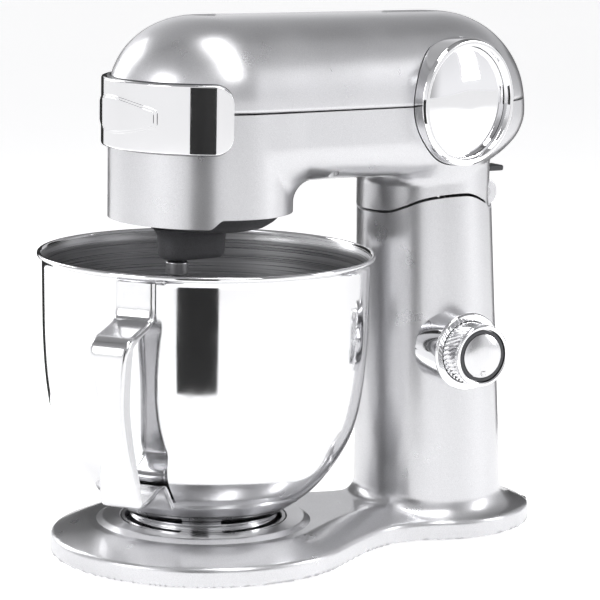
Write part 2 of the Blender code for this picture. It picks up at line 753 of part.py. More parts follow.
def coil(name, radius, wire, low, high, turns, mat, parent, at):
    """An upright spring; sizes in millimetres."""
    curve = bpy.data.curves.new(name, "CURVE")
    curve.dimensions = "3D"
    curve.bevel_depth = wire * MM / 2
    curve.bevel_resolution = 0
    curve.use_fill_caps = True
    spline = curve.splines.new("POLY")
    count = turns * 10
    spline.points.add(count)
    for i, point in enumerate(spline.points):
        angle = 2 * math.pi * turns * i / count
        z = low + (high - low) * i / count
        point.co = (radius * MM * math.cos(angle), radius * MM * math.sin(angle), z * MM, 1)
    curve.materials.append(mat)
    obj = bpy.data.objects.new(name, curve)
    PARTS.objects.link(obj)
    obj.location = (*at, 0)
    hang(obj, parent)
    return obj


def build_gearbox(head):
    plate = prism("gearbox_plate", drum_outline(WALL + 2 * GAP), 250 * MM, 253.7 * MM, CASTING, head)
    lay = (0, SHAFT_SPACING)
    combine(plate, rod("plate_shaft_bore", 6.3 * MM, 240 * MM, 260 * MM))
    combine(plate, rod("plate_lay_bore", 4.3 * MM, 240 * MM, 260 * MM, at=lay))

    ring = rod("ring_gear", 39 * MM, 237.4 * MM, 249.7 * MM, STEEL, head, steps=ROUND)
    teeth = gear_outline(RING_TEETH, PLANET_MODULE, -90, slack=-0.25 * MM, tip=1.15, root=0.85)
    combine(ring, prism("ring_space", teeth, 230 * MM, 260 * MM))

    cover = prism("gearbox_cover", circle((0, SHAFT_SPACING / 2), 40 * MM), 284 * MM, 287 * MM, CASTING, head)
    join(cover, rod("cover_tower", 8 * MM, 285 * MM, 322 * MM))
    for side in (-1, 1):
        spot = (side * 35.8 * MM, lay[1] / 2)
        join(cover, rod(f"cover_leg_{side}", 3.5 * MM, 254 * MM, 285 * MM, at=spot, steps=12))
    combine(cover, rod("cover_pulley_bore", 4.3 * MM, 280 * MM, 330 * MM))
    combine(cover, rod("cover_lay_bore", 4.3 * MM, 280 * MM, 290 * MM, at=lay))

    lay_axis = new_pivot("layshaft_axis", (0, SHAFT_SPACING, 270 * MM), head)
    half_pinion = 180 / PINION_TEETH
    half_wheel = 180 / WHEEL_TEETH
    pinion_shaft("layshaft", half_pinion - 90, lay, 250.5, 287, 262, 269, lay_axis)
    gear("layshaft_wheel", WHEEL_TEETH, half_wheel - 90, lay, 274, 280, 4.3, NYLON, lay_axis)

    pulley_axis = new_pivot("pulley_axis", (0, 0, 300 * MM), head)
    pinion_shaft("pulley_shaft", 90, (0, 0), 273, 340, 274, 280, pulley_axis)
    pulley("drive_pulley", PULLEY_RADIUS / MM, 4.3, pulley_axis, (0, 0, 0), NYLON)

    belt = prism("drive_belt", belt_outline(1.9 * MM), BELT_Z - 3 * MM, BELT_Z + 3 * MM, RUBBER, head)
    combine(belt, prism("belt_inside", belt_outline(GAP), BELT_Z - 9 * MM, BELT_Z + 9 * MM))


def belt_outline(outside):
    tangent = math.degrees(math.asin((PULLEY_RADIUS - MOTOR_PULLEY_RADIUS) / MOTOR_Y))
    large = arc((0, 0), PULLEY_RADIUS + outside, 180 - tangent, 360 + tangent, 25)
    small = arc((0, MOTOR_Y), MOTOR_PULLEY_RADIUS + outside, tangent, 180 - tangent, 9)
    return [*large, *small]


def pulley(name, radius, bore, parent, at, mat):
    z = BELT_Z / MM
    profile = (
        (bore, z + 5), (radius + 1.2, z + 5), (radius + 1.2, z + 4.4), (radius, z + 4),
        (radius, z - 4), (radius + 1.2, z - 4.4), (radius + 1.2, z - 4.8), (bore, z - 4.8),
    )
    turned(name, profile, mat, parent, at, steps=MEDIUM_ROUND)


def build_motor(head):
    spot = (0, MOTOR_Y)
    at = (0, MOTOR_Y, 0)
    outline = []
    for corner, (x, y) in enumerate(((26, 23), (-26, 23), (-26, -23), (26, -23))):
        outline += arc((x * MM, MOTOR_Y + y * MM), 9 * MM, 90 * corner, 90 * corner + 90, 5)
    stator = prism("motor_stator", outline, 284 * MM, 312 * MM, STEEL, head)
    combine(stator, rod("stator_bore", 22 * MM, 280 * MM, 320 * MM, at=spot, steps=MEDIUM_ROUND))
    for name, top, bottom in (("lower", 283.7, 277), ("upper", 318, 312.3)):
        profile = ((22.5, top), (29, top), (29, bottom), (22.5, bottom))
        turned(f"field_winding_{name}", profile, COPPER, head, at, steps=MEDIUM_ROUND)
    for name, low in (("lower", 257.6), ("upper", 326.8)):
        bracket = box(
            f"motor_bracket_{name}",
            (-34 * MM, MOTOR_Y - 10 * MM, low * MM),
            (34 * MM, MOTOR_Y + 10 * MM, (low + 2) * MM),
            CASTING, head,
        )
        combine(bracket, rod(f"bracket_bore_{name}", 3.8 * MM, 250 * MM, 335 * MM, at=spot))
    for side, name in SIDE_NAMES.items():
        box(
            f"carbon_brush_{name}",
            (min(side * 10.4, side * 20) * MM, MOTOR_Y - 3 * MM, 267 * MM),
            (max(side * 10.4, side * 20) * MM, MOTOR_Y + 3 * MM, 273 * MM),
            DARK, head,
        )
    axis = new_pivot("motor_axis", (0, MOTOR_Y, 300 * MM), head)
    turned(
        "motor_rotor",
        (
            (0, 340), (3, 340), (3, 319), (17, 318.4), (18, 313), (21, 312), (21, 284), (18, 283),
            (16, 277), (3.4, 276), (3.4, 258), (0, 258),
        ),
        COPPER, axis, at, steps=32,
    )
    profile = ((3.8, 275.5), (10, 275.5), (10, 265), (3.8, 265))
    turned("commutator", profile, COPPER, axis, at, steps=SMALL_ROUND)
    blades = []
    for number in range(9):
        turn = 40 * number
        for radius, angle in ((9, 4), (29, 2), (29, 7), (9, 14)):
            direction = math.radians(turn + angle)
            blades.append((radius * MM * math.cos(direction), MOTOR_Y + radius * MM * math.sin(direction)))
    fan = prism("cooling_fan", blades, 320.5 * MM, 326 * MM, DARK, axis)
    combine(fan, rod("fan_bore", 3.3 * MM, 318 * MM, 330 * MM, at=spot))
    pulley("motor_pulley", MOTOR_PULLEY_RADIUS / MM, 3.3, axis, at, STEEL)


# ---------------------------------------------------------------- bowl

def bowl_outside():
    """The bowl's outside, (radius, z) in millimetres, from under the rim down to its flat bottom."""
    upper = [(109.2, 199), (108.9, 175), (108.3, 147), (106.5, 121), (103, 98)]
    return [*upper, (97.8, 81), (88.5, 64), (76.5, 49), (65, 39), (54, 31)]


def offset_profile(points, distance):
    """The (radius, z) points moved towards the axis, square to the line through them."""
    moved = []
    for i, (radius, z) in enumerate(points):
        before, after = points[max(i - 1, 0)], points[min(i + 1, len(points) - 1)]
        along = Vector((after[0] - before[0], after[1] - before[1])).normalized()
        moved.append((radius + along.y * distance, z - along.x * distance))
    return moved


def build_bowl(axis):
    outside = bowl_outside()
    sheet = BOWL_SHEET / MM
    inside = offset_profile(outside, sheet)
    rim = [(109.4, 204.2), (111.4, 204.6), (112.5, 203.6), (112.3, 202), (110.6, 201)]
    floor = [(51.5, 30), (0, 30)]
    inner_floor = [(0, 30 + sheet), (50, 30 + sheet)]
    profile = [*inner_floor, *reversed(inside), *rim, *outside, *floor]
    turned("bowl", profile, STAINLESS, axis)

    foot = turned(
        "bowl_foot",
        ((47.8, 29.6), (50.6, 29.6), (50.2, 28), (50.2, 20.2), (47.8, 20.2)),
        STAINLESS, axis,
    )
    for number in range(LUG_COUNT):
        middle = 90 + 360 * number / LUG_COUNT
        lug = arc((0, 0), 52.7 * MM, middle - 13, middle + 13, 6)
        lug += arc((0, 0), 49.5 * MM, middle + 13, middle - 13, 6)
        join(foot, prism(f"foot_lug_{number}", lug, 20.4 * MM, 22.8 * MM))
    build_handle(axis)


def handle_stations():
    """(radius, z, half width, flange depth) down the handle's outer face, in millimetres."""
    return (
        (112.4, 199.5, 13.5, 2.6), (112.4, 189, 13.5, 2.6), (112.4, 181, 13.5, 2.6), (115.6, 176, 13.5, 2.8),
        (131, 171.6, 13.6, 3.6), (143.5, 168.2, 13.6, 6), (149, 161, 13, 9), (148.6, 148, 11, 11),
        (145.2, 122, 8.6, 11), (140.4, 96, 9.6, 10), (135, 72, 12.6, 8), (130.5, 60, 13.8, 4.5),
        (122, 57, 14, 3.2), (109, 59.3, 14, 2.8), (99, 63, 14, 2.6), (93.6, 63.2, 14, 2.6),
        (89.8, 60, 14, 2.6), (84.8, 53.6, 14, 2.6), (79, 46.5, 14, 2.6),
    )


def build_handle(axis):
    """A pressed strap whose edges curl back, lofted along its path down the bowl's front."""
    azimuth = math.radians(HANDLE_AZIMUTH)
    outward = Vector((math.cos(azimuth), math.sin(azimuth), 0))
    across = Vector((-math.sin(azimuth), math.cos(azimuth), 0))
    up = Vector((0, 0, 1))
    stations = handle_stations()
    sheet = HANDLE_SHEET / MM
    rings = []
    for i, (radius, z, half, flange) in enumerate(stations):
        before, after = stations[max(i - 1, 0)], stations[min(i + 1, len(stations) - 1)]
        along = (outward * (after[0] - before[0]) + up * (after[1] - before[1])).normalized()
        back = across.cross(along).normalized()
        spot = (outward * radius + up * z) * MM
        section = (
            (-half, 1), (-half + 1.4, 0), (half - 1.4, 0), (half, 1), (half, flange),
            (half - sheet, flange), (half - sheet, sheet + 0.2),
            (-half + sheet, sheet + 0.2), (-half + sheet, flange), (-half, flange),
        )
        rings.append([spot + (across * side + back * depth) * MM for side, depth in section])
    loft("bowl_handle", rings, STAINLESS, axis)


# ---------------------------------------------------------------- hinge, latch and lever

def build_latch(root, head):
    cross_rod("hinge_pin", PIN_RADIUS, -24.5 * MM, 24.5 * MM, HINGE_Y, HINGE_Z, STEEL, root)
    cross_rod("latch_catch", 2 * MM, -5.2 * MM, 5.2 * MM, 190.5 * MM, 219.4 * MM, STEEL, root, 12)
    axis = new_pivot("lever_axis", (0, 204 * MM, 250.2 * MM), head)
    lever = box(
        "release_lever", (-7.4 * MM, 197.6 * MM, 248.4 * MM), (7.4 * MM, 233 * MM, 252.4 * MM), DARK, axis,
    )
    bevel = lever.modifiers.new("soft edges", "BEVEL")
    bevel.width = 1.2 * MM
    bevel.segments = 2
    box("latch_hook", (-4 * MM, 188 * MM, 226 * MM), (4 * MM, 193.6 * MM, 252 * MM), STEEL, axis)
    hook = bpy.data.objects["latch_hook"]
    combine(hook, cross_rod("hook_notch", 2.6 * MM, -9 * MM, 9 * MM, 188 * MM, 231 * MM, steps=12))


def build_accessory_cover(head):
    axis = new_pivot("accessory_cover_axis", (0, -NOSE_RADIUS, PORT_Z), head)
    wrapped_plate(
        "accessory_cover", NOSE_RADIUS + GAP, COVER_RADIUS, COVER_HALF_ANGLE,
        COVER_BOTTOM, COVER_TOP, 12 * MM, CHROME, axis,
    )
    wrapped_plate(
        "cover_plaque", COVER_RADIUS + GAP, COVER_RADIUS + 1.5 * MM, PLAQUE_HALF_ANGLE,
        PORT_Z - PLAQUE_HALF_HEIGHT, PORT_Z + PLAQUE_HALF_HEIGHT, 6 * MM, CHROME, axis,
    )


def main():
    root = new_pivot("mixer", (0, 0, 0))
    build_base(root)
    build_underside(root)
    build_clamp_plate(root)
    build_dial(root)

    head = new_pivot("tilt_axis", (0, HINGE_Y, HINGE_Z), root)
    build_upper_housing(head)
    build_lower_housing(head)
    build_trim(head)
    build_accessory_cover(head)
    build_planetary(head)
    build_gearbox(head)
    build_motor(head)
    build_latch(root, head)

    build_bowl(new_pivot("bowl_axis", (0, 0, RECESS_FLOOR), root))
    root.location.y = BOWL_AXIS_Y


main()
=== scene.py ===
"""The looks of a tilt-head stand mixer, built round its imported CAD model.

Lengths are in millimetres in this script's own shapes, and the bowl's axis is their Z axis. Each finished
piece is scaled to metres and shifted onto the CAD model, whose origin lies under the middle of its box.
"""

import itertools
import json
import math

import bmesh
import bpy
import numpy as np
from mathutils import Matrix, Vector
from mathutils.bvhtree import BVHTree

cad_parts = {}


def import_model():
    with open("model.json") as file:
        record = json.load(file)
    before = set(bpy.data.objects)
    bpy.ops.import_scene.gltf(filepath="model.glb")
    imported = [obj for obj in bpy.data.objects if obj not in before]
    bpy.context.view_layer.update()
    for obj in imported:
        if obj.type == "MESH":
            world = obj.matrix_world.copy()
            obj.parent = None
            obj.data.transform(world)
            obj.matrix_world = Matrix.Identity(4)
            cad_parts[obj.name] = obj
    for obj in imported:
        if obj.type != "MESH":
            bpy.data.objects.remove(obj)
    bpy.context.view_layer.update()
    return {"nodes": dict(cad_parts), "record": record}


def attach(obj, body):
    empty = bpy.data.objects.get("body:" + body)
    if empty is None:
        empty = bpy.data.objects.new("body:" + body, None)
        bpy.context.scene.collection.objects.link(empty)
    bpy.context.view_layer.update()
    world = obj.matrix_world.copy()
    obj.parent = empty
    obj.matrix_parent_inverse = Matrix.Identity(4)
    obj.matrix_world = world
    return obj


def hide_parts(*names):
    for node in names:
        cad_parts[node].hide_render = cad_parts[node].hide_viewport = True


MM = 0.001
BOWL_AXIS_Y = -68.3
WALL = 3.2

# The base and its column.
BASE_RADIUS = 103
BASE_FRONT_ARC = 32
BASE_SIDE = (
    (76, 71), (63, 92), (53.5, 112), (50.5, 128), (53, 148), (59.5, 168), (61.5, 188), (58, 208),
    (46, 231), (26, 249), (0, 256),
)
BASE_BOTTOM = 1.5
BASE_TOP = 22.5
BASE_RISE = 8.9
BASE_SLOPE = 25
BASE_EDGE_RADIUS = 2.2
SEAT_RADIUS = 56
SEAT_FLOOR = 17
COLUMN_FOOT = (32, 51.6, 179.5)
COLUMN_HEAD = (262, 46, 170)
COLUMN_FILLET = 9

# The seam between column and head, in the side view: (y, z).
SEAM = (
    (110, 226), (127, 226), (135, 230), (145, 235.4),
    (158, 238.2), (175, 238.9), (184, 237.2), (196, 232.2),
)
SEAM_GAP = 1.0
HINGE = (206.5, 236.5)
BARREL_RADIUS = 9.5
BARREL_CUT = 10.4
COLUMN_REAR_ANGLE = -40
HEAD_REAR_ANGLE = -20
EAR_INSIDE = 16
EAR_OUTSIDE = 24

# The head.
NOSE_RADIUS = 66
REAR_HALF_WIDTH = 58
REAR_START = 166
REAR_END = 244
NECK_REAR = 217
NECK_RADIUS = 46
NECK_Y = 170
NECK_START = 244.5
SPLIT_Z = 302
SPLIT_GAP = 0.5
ARM_BOTTOM = 254
ARM_EDGE_RADIUS = 25
SHOULDER_START = 309
SHOULDER_INSET = 57
DOME_START = 292
DOME_INSET = 68
HEAD_TOP = 361
DRUM_BOTTOM = 228
DRUM_REAR = 53.5
SKIRT_STEP = 6.1
SKIRT_STEP_Y = -25
DISC_CENTER = (58, 166, 303.5)
DISC_RADIUS = 43
DISC_TURN = 11.4
DIAL_CENTER = (0, 168, 134)
COVER_RADIUS = 70.6
PORT_Z = 298.5

HANDLE_AZIMUTH = -52.6

FINE = 2.4
COARSE = 5.0


# ---------------------------------------------------------------- mesh helpers

def finish_mesh(name, bm, *materials):
    """A new object from a bmesh in millimetres, scaled to metres on the bowl's axis."""
    bmesh.ops.scale(bm, vec=(MM, MM, MM), verts=bm.verts)
    mesh = bpy.data.meshes.new(name)
    bm.to_mesh(mesh)
    bm.free()
    mesh.polygons.foreach_set("use_smooth", [True] * len(mesh.polygons))
    for each in materials:
        mesh.materials.append(each)
    obj = bpy.data.objects.new(name, mesh)
    bpy.context.scene.collection.objects.link(obj)
    obj.location.y = BOWL_AXIS_Y * MM
    return obj

# The spacing of the points along the base's plan, the dial's ribs, and how far the beater stands
# from the bowl's axis.
BASE_SPACING = 0.8
KNURLS = 40
ORBIT = 22

# The hub's boss: how far it stands out of its plan, and the height.
HUB_BOSS_LEVELS = (
    (5, 222), (3.2, 220.8), (1.6, 219), (0.6, 216), (0.2, 211),
    (0, 205), (-0.5, 203), (-1.6, 201.6), (-3.4, 201),
)

# The camera, with its place in metres and its angles in degrees.
CAMERA_AZIMUTH = 59.34
CAMERA_ELEVATION = 9.62
CAMERA_ROLL = 1.02
CAMERA_PLACE = (1.5972, -0.9423, 0.4811)
CAMERA_LENS = 166.06
FLOOR_GLOW = 0.55

# The studio's brightness by direction: share of a turn from -X through -Y, and share of the way from
# straight down to straight up.
FLAGS = (
    (0.0, 1.0), (0.08, 1.0), (0.12, 0.5), (0.17, 1.0), (0.3, 1.0), (0.46, 1.0), (0.52, 0.45), (0.56, 0.45),
    (0.6, 1.0), (0.72, 1.0), (0.78, 0.5), (1.0, 1.0),
)
LEVELS = ((0.0, 0.9), (0.45, 0.95), (0.5, 1.0), (0.66, 0.9), (0.8, 0.5), (0.9, 0.35), (1.0, 0.3))


def from_arrays(name, points, faces, *materials):
    bm = bmesh.new()
    verts = [bm.verts.new(p) for p in points]
    for face in faces:
        bm.faces.new([verts[i] for i in face])
    return finish_mesh(name, bm, *materials)


def apply_modifiers(obj):
    graph = bpy.context.evaluated_depsgraph_get()
    mesh = bpy.data.meshes.new_from_object(obj.evaluated_get(graph))
    obj.modifiers.clear()
    obj.data = mesh
    return obj


def boolean(obj, operation, *others):
    """Combines obj with the others, which are used up."""
    for other in others:
        step = obj.modifiers.new("combine", "BOOLEAN")
        step.object = other
        step.operation = operation
        step.solver = "MANIFOLD"
    bpy.context.view_layer.update()
    apply_modifiers(obj)
    for other in others:
        bpy.data.objects.remove(other)
    return obj


def soften(obj, width, segments=2, angle=30):
    """Rounds the sharp edges of obj, width in millimetres, and shades it smooth."""
    bevel = obj.modifiers.new("soft edges", "BEVEL")
    bevel.width = width * MM
    bevel.segments = segments
    bevel.limit_method = "ANGLE"
    bevel.angle_limit = math.radians(angle)
    bevel.harden_normals = True
    bpy.context.view_layer.update()
    return apply_modifiers(obj)


def crisp(obj, angle=50):
    """Keeps edges over this angle sharp, and lets large faces lead the shading of small ones beside them."""
    obj.data.set_sharp_from_angle(angle=math.radians(angle))
    weigh = obj.modifiers.new("flat faces", "WEIGHTED_NORMAL")
    weigh.keep_sharp = True
    bpy.context.view_layer.update()
    return apply_modifiers(obj)


def loft(name, rings, *materials, closed_ends=True, wrap=False):
    """A skin over the rings, which all hold the same number of points."""
    bm = bmesh.new()
    rows = [[bm.verts.new(p) for p in ring] for ring in rings]
    pairs = list(zip(rows, rows[1:]))
    if wrap:
        pairs.append((rows[-1], rows[0]))
    for low, high in pairs:
        count = len(low)
        for i in range(count):
            j = (i + 1) % count
            bm.faces.new((low[i], low[j], high[j], high[i]))
    if closed_ends and not wrap:
        bm.faces.new(list(reversed(rows[0])))
        bm.faces.new(rows[-1])
    bmesh.ops.recalc_face_normals(bm, faces=bm.faces)
    return finish_mesh(name, bm, *materials)


def prism(name, outline, low, high, *materials):
    return loft(name, [[(x, y, z) for x, y in outline] for z in (low, high)], *materials)


def side_prism(name, outline, half_width, *materials):
    """A prism across X from an outline of (y, z) points."""
    return loft(name, [[(x, y, z) for y, z in outline] for x in (-half_width, half_width)], *materials)


def block(name, low, high, *materials):
    corners = ((low[0], low[1]), (high[0], low[1]), (high[0], high[1]), (low[0], high[1]))
    return prism(name, corners, low[2], high[2], *materials)


def arc(center, radius, start, end, count):
    """Points on an arc, angles in degrees, both ends included."""
    found = []
    for i in range(count):
        angle = math.radians(start + (end - start) * i / (count - 1))
        found.append((center[0] + radius * math.cos(angle), center[1] + radius * math.sin(angle)))
    return found


def smooth_curve(points, steps):
    """A Catmull-Rom curve through the points, both ends included."""
    ends = [points[0], *points, points[-1]]
    found = []
    for a, b, c, d in zip(ends, ends[1:], ends[2:], ends[3:]):
        for i in range(steps):
            t = i / steps
            found.append(tuple(
                0.5 * (
                    2 * q + (r - p) * t + (2 * p - 5 * q + 4 * r - s) * t * t
                    + (3 * q - p - 3 * r + s) * t ** 3
                )
                for p, q, r, s in zip(a, b, c, d)
            ))
    return [*found, tuple(points[-1])]


def rounded(profile, radius, steps=4):
    """The open polyline with every inner corner rounded by about this radius, less where there is no room."""
    found = [profile[0]]
    for before, corner, after in zip(profile, profile[1:], profile[2:]):
        corner = Vector(corner)
        back, ahead = Vector(before) - corner, Vector(after) - corner
        reach = min(radius, 0.45 * back.length, 0.45 * ahead.length)
        start, end = corner + back.normalized() * reach, corner + ahead.normalized() * reach
        for i in range(steps + 1):
            t = i / steps
            found.append(tuple(start * (1 - t) ** 2 + corner * 2 * t * (1 - t) + end * t * t))
    return [*found, profile[-1]]


def turned(name, profile, *materials, at=(0, 0, 0), turn=(0, 0, 0), steps=128, ripple=None):
    """A solid of revolution from (radius, height) points, which start and end on the axis or close up a ring.

    ripple(radius, height, angle) gives a new radius, for grips.
    """
    rings = []
    for i in range(steps):
        angle = 2 * math.pi * i / steps
        ring = []
        for radius, height in profile:
            reach = ripple(radius, height, angle) if ripple else radius
            ring.append(Vector((reach * math.cos(angle), reach * math.sin(angle), height)))
        rings.append(ring)
    matrix = Matrix.Translation(at) @ Matrix.Rotation(turn[2], 4, "Z") @ Matrix.Rotation(turn[1], 4, "Y")
    matrix = matrix @ Matrix.Rotation(turn[0], 4, "X")
    bm = bmesh.new()
    rows = [[bm.verts.new(matrix @ p) for p in ring] for ring in rings]
    open_profile = profile[0][0] == 0 and profile[-1][0] == 0
    count = len(profile) - 1 if open_profile else len(profile)
    for i in range(steps):
        one, two = rows[i], rows[(i + 1) % steps]
        for j in range(count):
            k = (j + 1) % len(profile)
            bm.faces.new((one[j], two[j], two[k], one[k]))
    bmesh.ops.remove_doubles(bm, verts=bm.verts, dist=1e-5)
    bmesh.ops.dissolve_degenerate(bm, edges=bm.edges, dist=1e-5)
    bmesh.ops.recalc_face_normals(bm, faces=bm.faces)
    return finish_mesh(name, bm, *materials)


def cross_rod(name, radius, left, right, y, z, *materials, steps=48):
    """A round rod along X."""
    outline = [(y + radius * math.cos(a), z + radius * math.sin(a))
               for a in (2 * math.pi * i / steps for i in range(steps))]
    return loft(name, [[(x, py, pz) for py, pz in outline] for x in (left, right)], *materials)


# ---------------------------------------------------------------- surfaces from distance fields

def fillet_union(one, two, radius):
    """Two distance fields as one body, with a concave fillet of this radius where they meet."""
    room = np.maximum(radius, 1e-6)
    corner = np.hypot(np.maximum(room - one, 0), np.maximum(room - two, 0))
    return np.maximum(room, np.minimum(one, two)) - corner


def round_overlap(one, two, radius):
    """What two distance fields share, with the convex edge rounded to this radius."""
    corner = np.hypot(np.maximum(radius + one, 0), np.maximum(radius + two, 0))
    return np.minimum(-radius, np.maximum(one, two)) + corner


def slope_of(field, points, reach=0.2):
    slope = np.empty_like(points)
    for axis in range(3):
        offset = np.zeros(3)
        offset[axis] = reach
        slope[:, axis] = (field(points + offset) - field(points - offset)) / (2 * reach)
    return slope


def net(field, low, high, step):
    """(points, quads) of the closed surface where the field is zero, by surface nets drawn onto it."""
    axes = [np.arange(a, b + step, step) for a, b in zip(low, high)]
    spots = np.stack(np.meshgrid(*axes, indexing="ij"), axis=-1)
    inside = field(spots.reshape(-1, 3)).reshape(spots.shape[:3]) < 0
    x, y, z = (n - 1 for n in inside.shape)
    filled = sum(
        inside[i:x + i, j:y + j, k:z + k].astype(int) for i, j, k in itertools.product((0, 1), repeat=3)
    )
    mixed = (filled > 0) & (filled < 8)
    index = np.full(mixed.shape, -1)
    index[mixed] = np.arange(mixed.sum())
    quads = []
    for axis in range(3):
        order = (axis, (axis + 1) % 3, (axis + 2) % 3)
        filled = np.moveaxis(inside, order, (0, 1, 2))
        cells = np.moveaxis(index, order, (0, 1, 2))
        change = filled[:-1, 1:-1, 1:-1] != filled[1:, 1:-1, 1:-1]
        a, b, c = np.nonzero(change)
        corners = np.stack(
            [cells[a, b, c], cells[a, b + 1, c], cells[a, b + 1, c + 1], cells[a, b, c + 1]], axis=1,
        )
        leaving = filled[a, b + 1, c + 1]
        quads.append(np.where(leaving[:, None], corners, corners[:, ::-1]))
    quads = np.concatenate(quads)
    points = onto_surface(field, spots[:-1, :-1, :-1][mixed] + step / 2, step, 6)
    for _ in range(4):
        points = onto_surface(field, evened(points, quads), step, 2)
    return points, quads


def onto_surface(field, points, step, rounds):
    """The points moved along the field's slope until they lie where it is zero."""
    for _ in range(rounds):
        slope = slope_of(field, points)
        move = slope * (field(points) / np.maximum((slope ** 2).sum(axis=1), 1e-9))[:, None]
        length = np.linalg.norm(move, axis=1)[:, None]
        points = points - move * np.minimum(1, step / np.maximum(length, 1e-9))
    return points


def evened(points, quads):
    """Each point moved to the middle of its neighbours, which spaces the mesh evenly."""
    total = np.zeros_like(points)
    count = np.zeros(len(points))
    for a, b in ((0, 1), (1, 2), (2, 3), (3, 0)):
        for one, two in ((a, b), (b, a)):
            np.add.at(total, quads[:, one], points[quads[:, two]])
            np.add.at(count, quads[:, one], 1)
    return total / count[:, None]


def shell(name, field, hollow, low, high, *materials):
    """The field's body less that of the hollow's field, and the source of the outside's shading."""
    points, quads = net(field, low, high, FINE)
    source = shading_source(points, quads, slope_of(field, points))
    body = from_arrays(name, points, quads, *materials)
    boolean(body, "DIFFERENCE", from_arrays("hollow", *net(hollow, low, high, COARSE)))
    return body, source


# ---------------------------------------------------------------- exact shading after the cuts

def shading_source(points, quads, normals):
    """A smooth surface in metres, with its normals, that restore_shading looks up."""
    triangles = np.concatenate([quads[:, [0, 1, 2]], quads[:, [0, 2, 3]]])
    length = np.maximum(np.linalg.norm(normals, axis=1), 1e-9)[:, None]
    tree = BVHTree.FromPolygons((points * MM).tolist(), triangles.tolist())
    return tree, points * MM, triangles, normals / length


def restore_shading(obj, source):
    """Gives what is left of the smooth surface its own normals again, and keeps every cut face flat."""
    tree, points, triangles, normals = source
    mesh = obj.data
    found = []
    for face in mesh.polygons:
        near, normal, _, distance = tree.find_nearest(face.center)
        smooth = near is not None and distance < 0.3 * MM and normal.dot(face.normal) > 0.8
        for loop in face.loop_indices:
            if not smooth:
                found.append(face.normal)
                continue
            spot = mesh.vertices[mesh.loops[loop].vertex_index].co
            near, normal, triangle, distance = tree.find_nearest(spot)
            a, b, c = (Vector(points[i]) for i in triangles[triangle])
            shares = barycentric(near, a, b, c)
            mixed = sum((Vector(normals[i]) * s for i, s in zip(triangles[triangle], shares)), Vector())
            found.append(mixed.normalized())
    mesh.normals_split_custom_set([tuple(n) for n in found])
    return obj


def barycentric(spot, a, b, c):
    """The shares of a triangle's corners at a spot on it."""
    one, two, three = b - a, c - a, spot - a
    d11, d12, d22 = one.dot(one), one.dot(two), two.dot(two)
    d31, d32 = three.dot(one), three.dot(two)
    area = d11 * d22 - d12 * d12
    if abs(area) < 1e-20:
        return 1.0, 0.0, 0.0
    v = (d22 * d31 - d12 * d32) / area
    w = (d11 * d32 - d12 * d31) / area
    return 1 - v - w, v, w


# ---------------------------------------------------------------- the shapes of the housings

def smooth_step(value, low, high):
    share = np.clip((value - low) / (high - low), 0, 1)
    return share * share * (3 - 2 * share)


def quarter_round(amount):
    """How far a quarter circle of radius 1 has come in at this share of its height."""
    share = np.clip(amount, 0, 1)
    return 1 - np.sqrt(1 - share * share)


def rear_end(z):
    dome = quarter_round((z - DOME_START) / (HEAD_TOP - DOME_START))
    neck = np.clip((DOME_START - z) / (DOME_START - NECK_START), 0, 1)
    return REAR_END - DOME_INSET * dome - (REAR_END - NECK_REAR) * (1 - np.cos(math.pi * neck)) / 2


def arm_plan(p):
    """How far outside the head's plan a point is: a circle about the bowl's axis joined to a rear one."""
    x, y = np.abs(p[:, 0]), p[:, 1]
    y = np.where(
        y > REAR_START,
        REAR_START + (y - REAR_START) * REAR_HALF_WIDTH / (rear_end(p[:, 2]) - REAR_START),
        y,
    )
    lean = (NOSE_RADIUS - REAR_HALF_WIDTH) / REAR_START
    rise = math.sqrt(1 - lean * lean)
    along = y * rise - x * lean
    nose = np.hypot(x, y) - NOSE_RADIUS
    rear = np.hypot(x, y - REAR_START) - REAR_HALF_WIDTH
    side = x * rise + y * lean - NOSE_RADIUS
    return np.where(along < 0, nose, np.where(along > REAR_START * rise, rear, side))


def lower_head(p):
    """The lower half of the head: the arm, the drum over the bowl and the neck, blended where they meet."""
    x, y, z = p.T
    out = arm_plan(p) + ARM_EDGE_RADIUS
    down = ARM_BOTTOM + ARM_EDGE_RADIUS - z
    arm = (
        np.hypot(np.maximum(out, 0), np.maximum(down, 0))
        + np.minimum(np.maximum(out, down), 0) - ARM_EDGE_RADIUS
    )
    arm = np.maximum(arm, z - SPLIT_Z - 12)
    depth = np.where(y > 0, y * NOSE_RADIUS / DRUM_REAR, y)
    drum = np.maximum(np.hypot(x, depth) - NOSE_RADIUS, DRUM_BOTTOM - 8 - z)
    drum = np.maximum(drum, z - SPLIT_Z)
    neck = np.maximum(np.hypot(x, y - NECK_Y) - NECK_RADIUS, 208 - z)
    neck = np.maximum(neck, z - SPLIT_Z)
    body = fillet_union(arm, drum, 14 * smooth_step(y, 4, 42))
    return fillet_union(body, neck, 10 * (1 - smooth_step(y, 165, 205)))


def base_outline(steps=12):
    """The base's plan, front arc and side curve, as closely spaced points that run anticlockwise."""
    front = arc((0, 0), BASE_RADIUS, -90, BASE_FRONT_ARC, 150)
    side = smooth_curve(BASE_SIDE, steps)
    half = [*front, *side]
    return np.array([*half, *[(-x, y) for x, y in half[-2:0:-1]]], float)


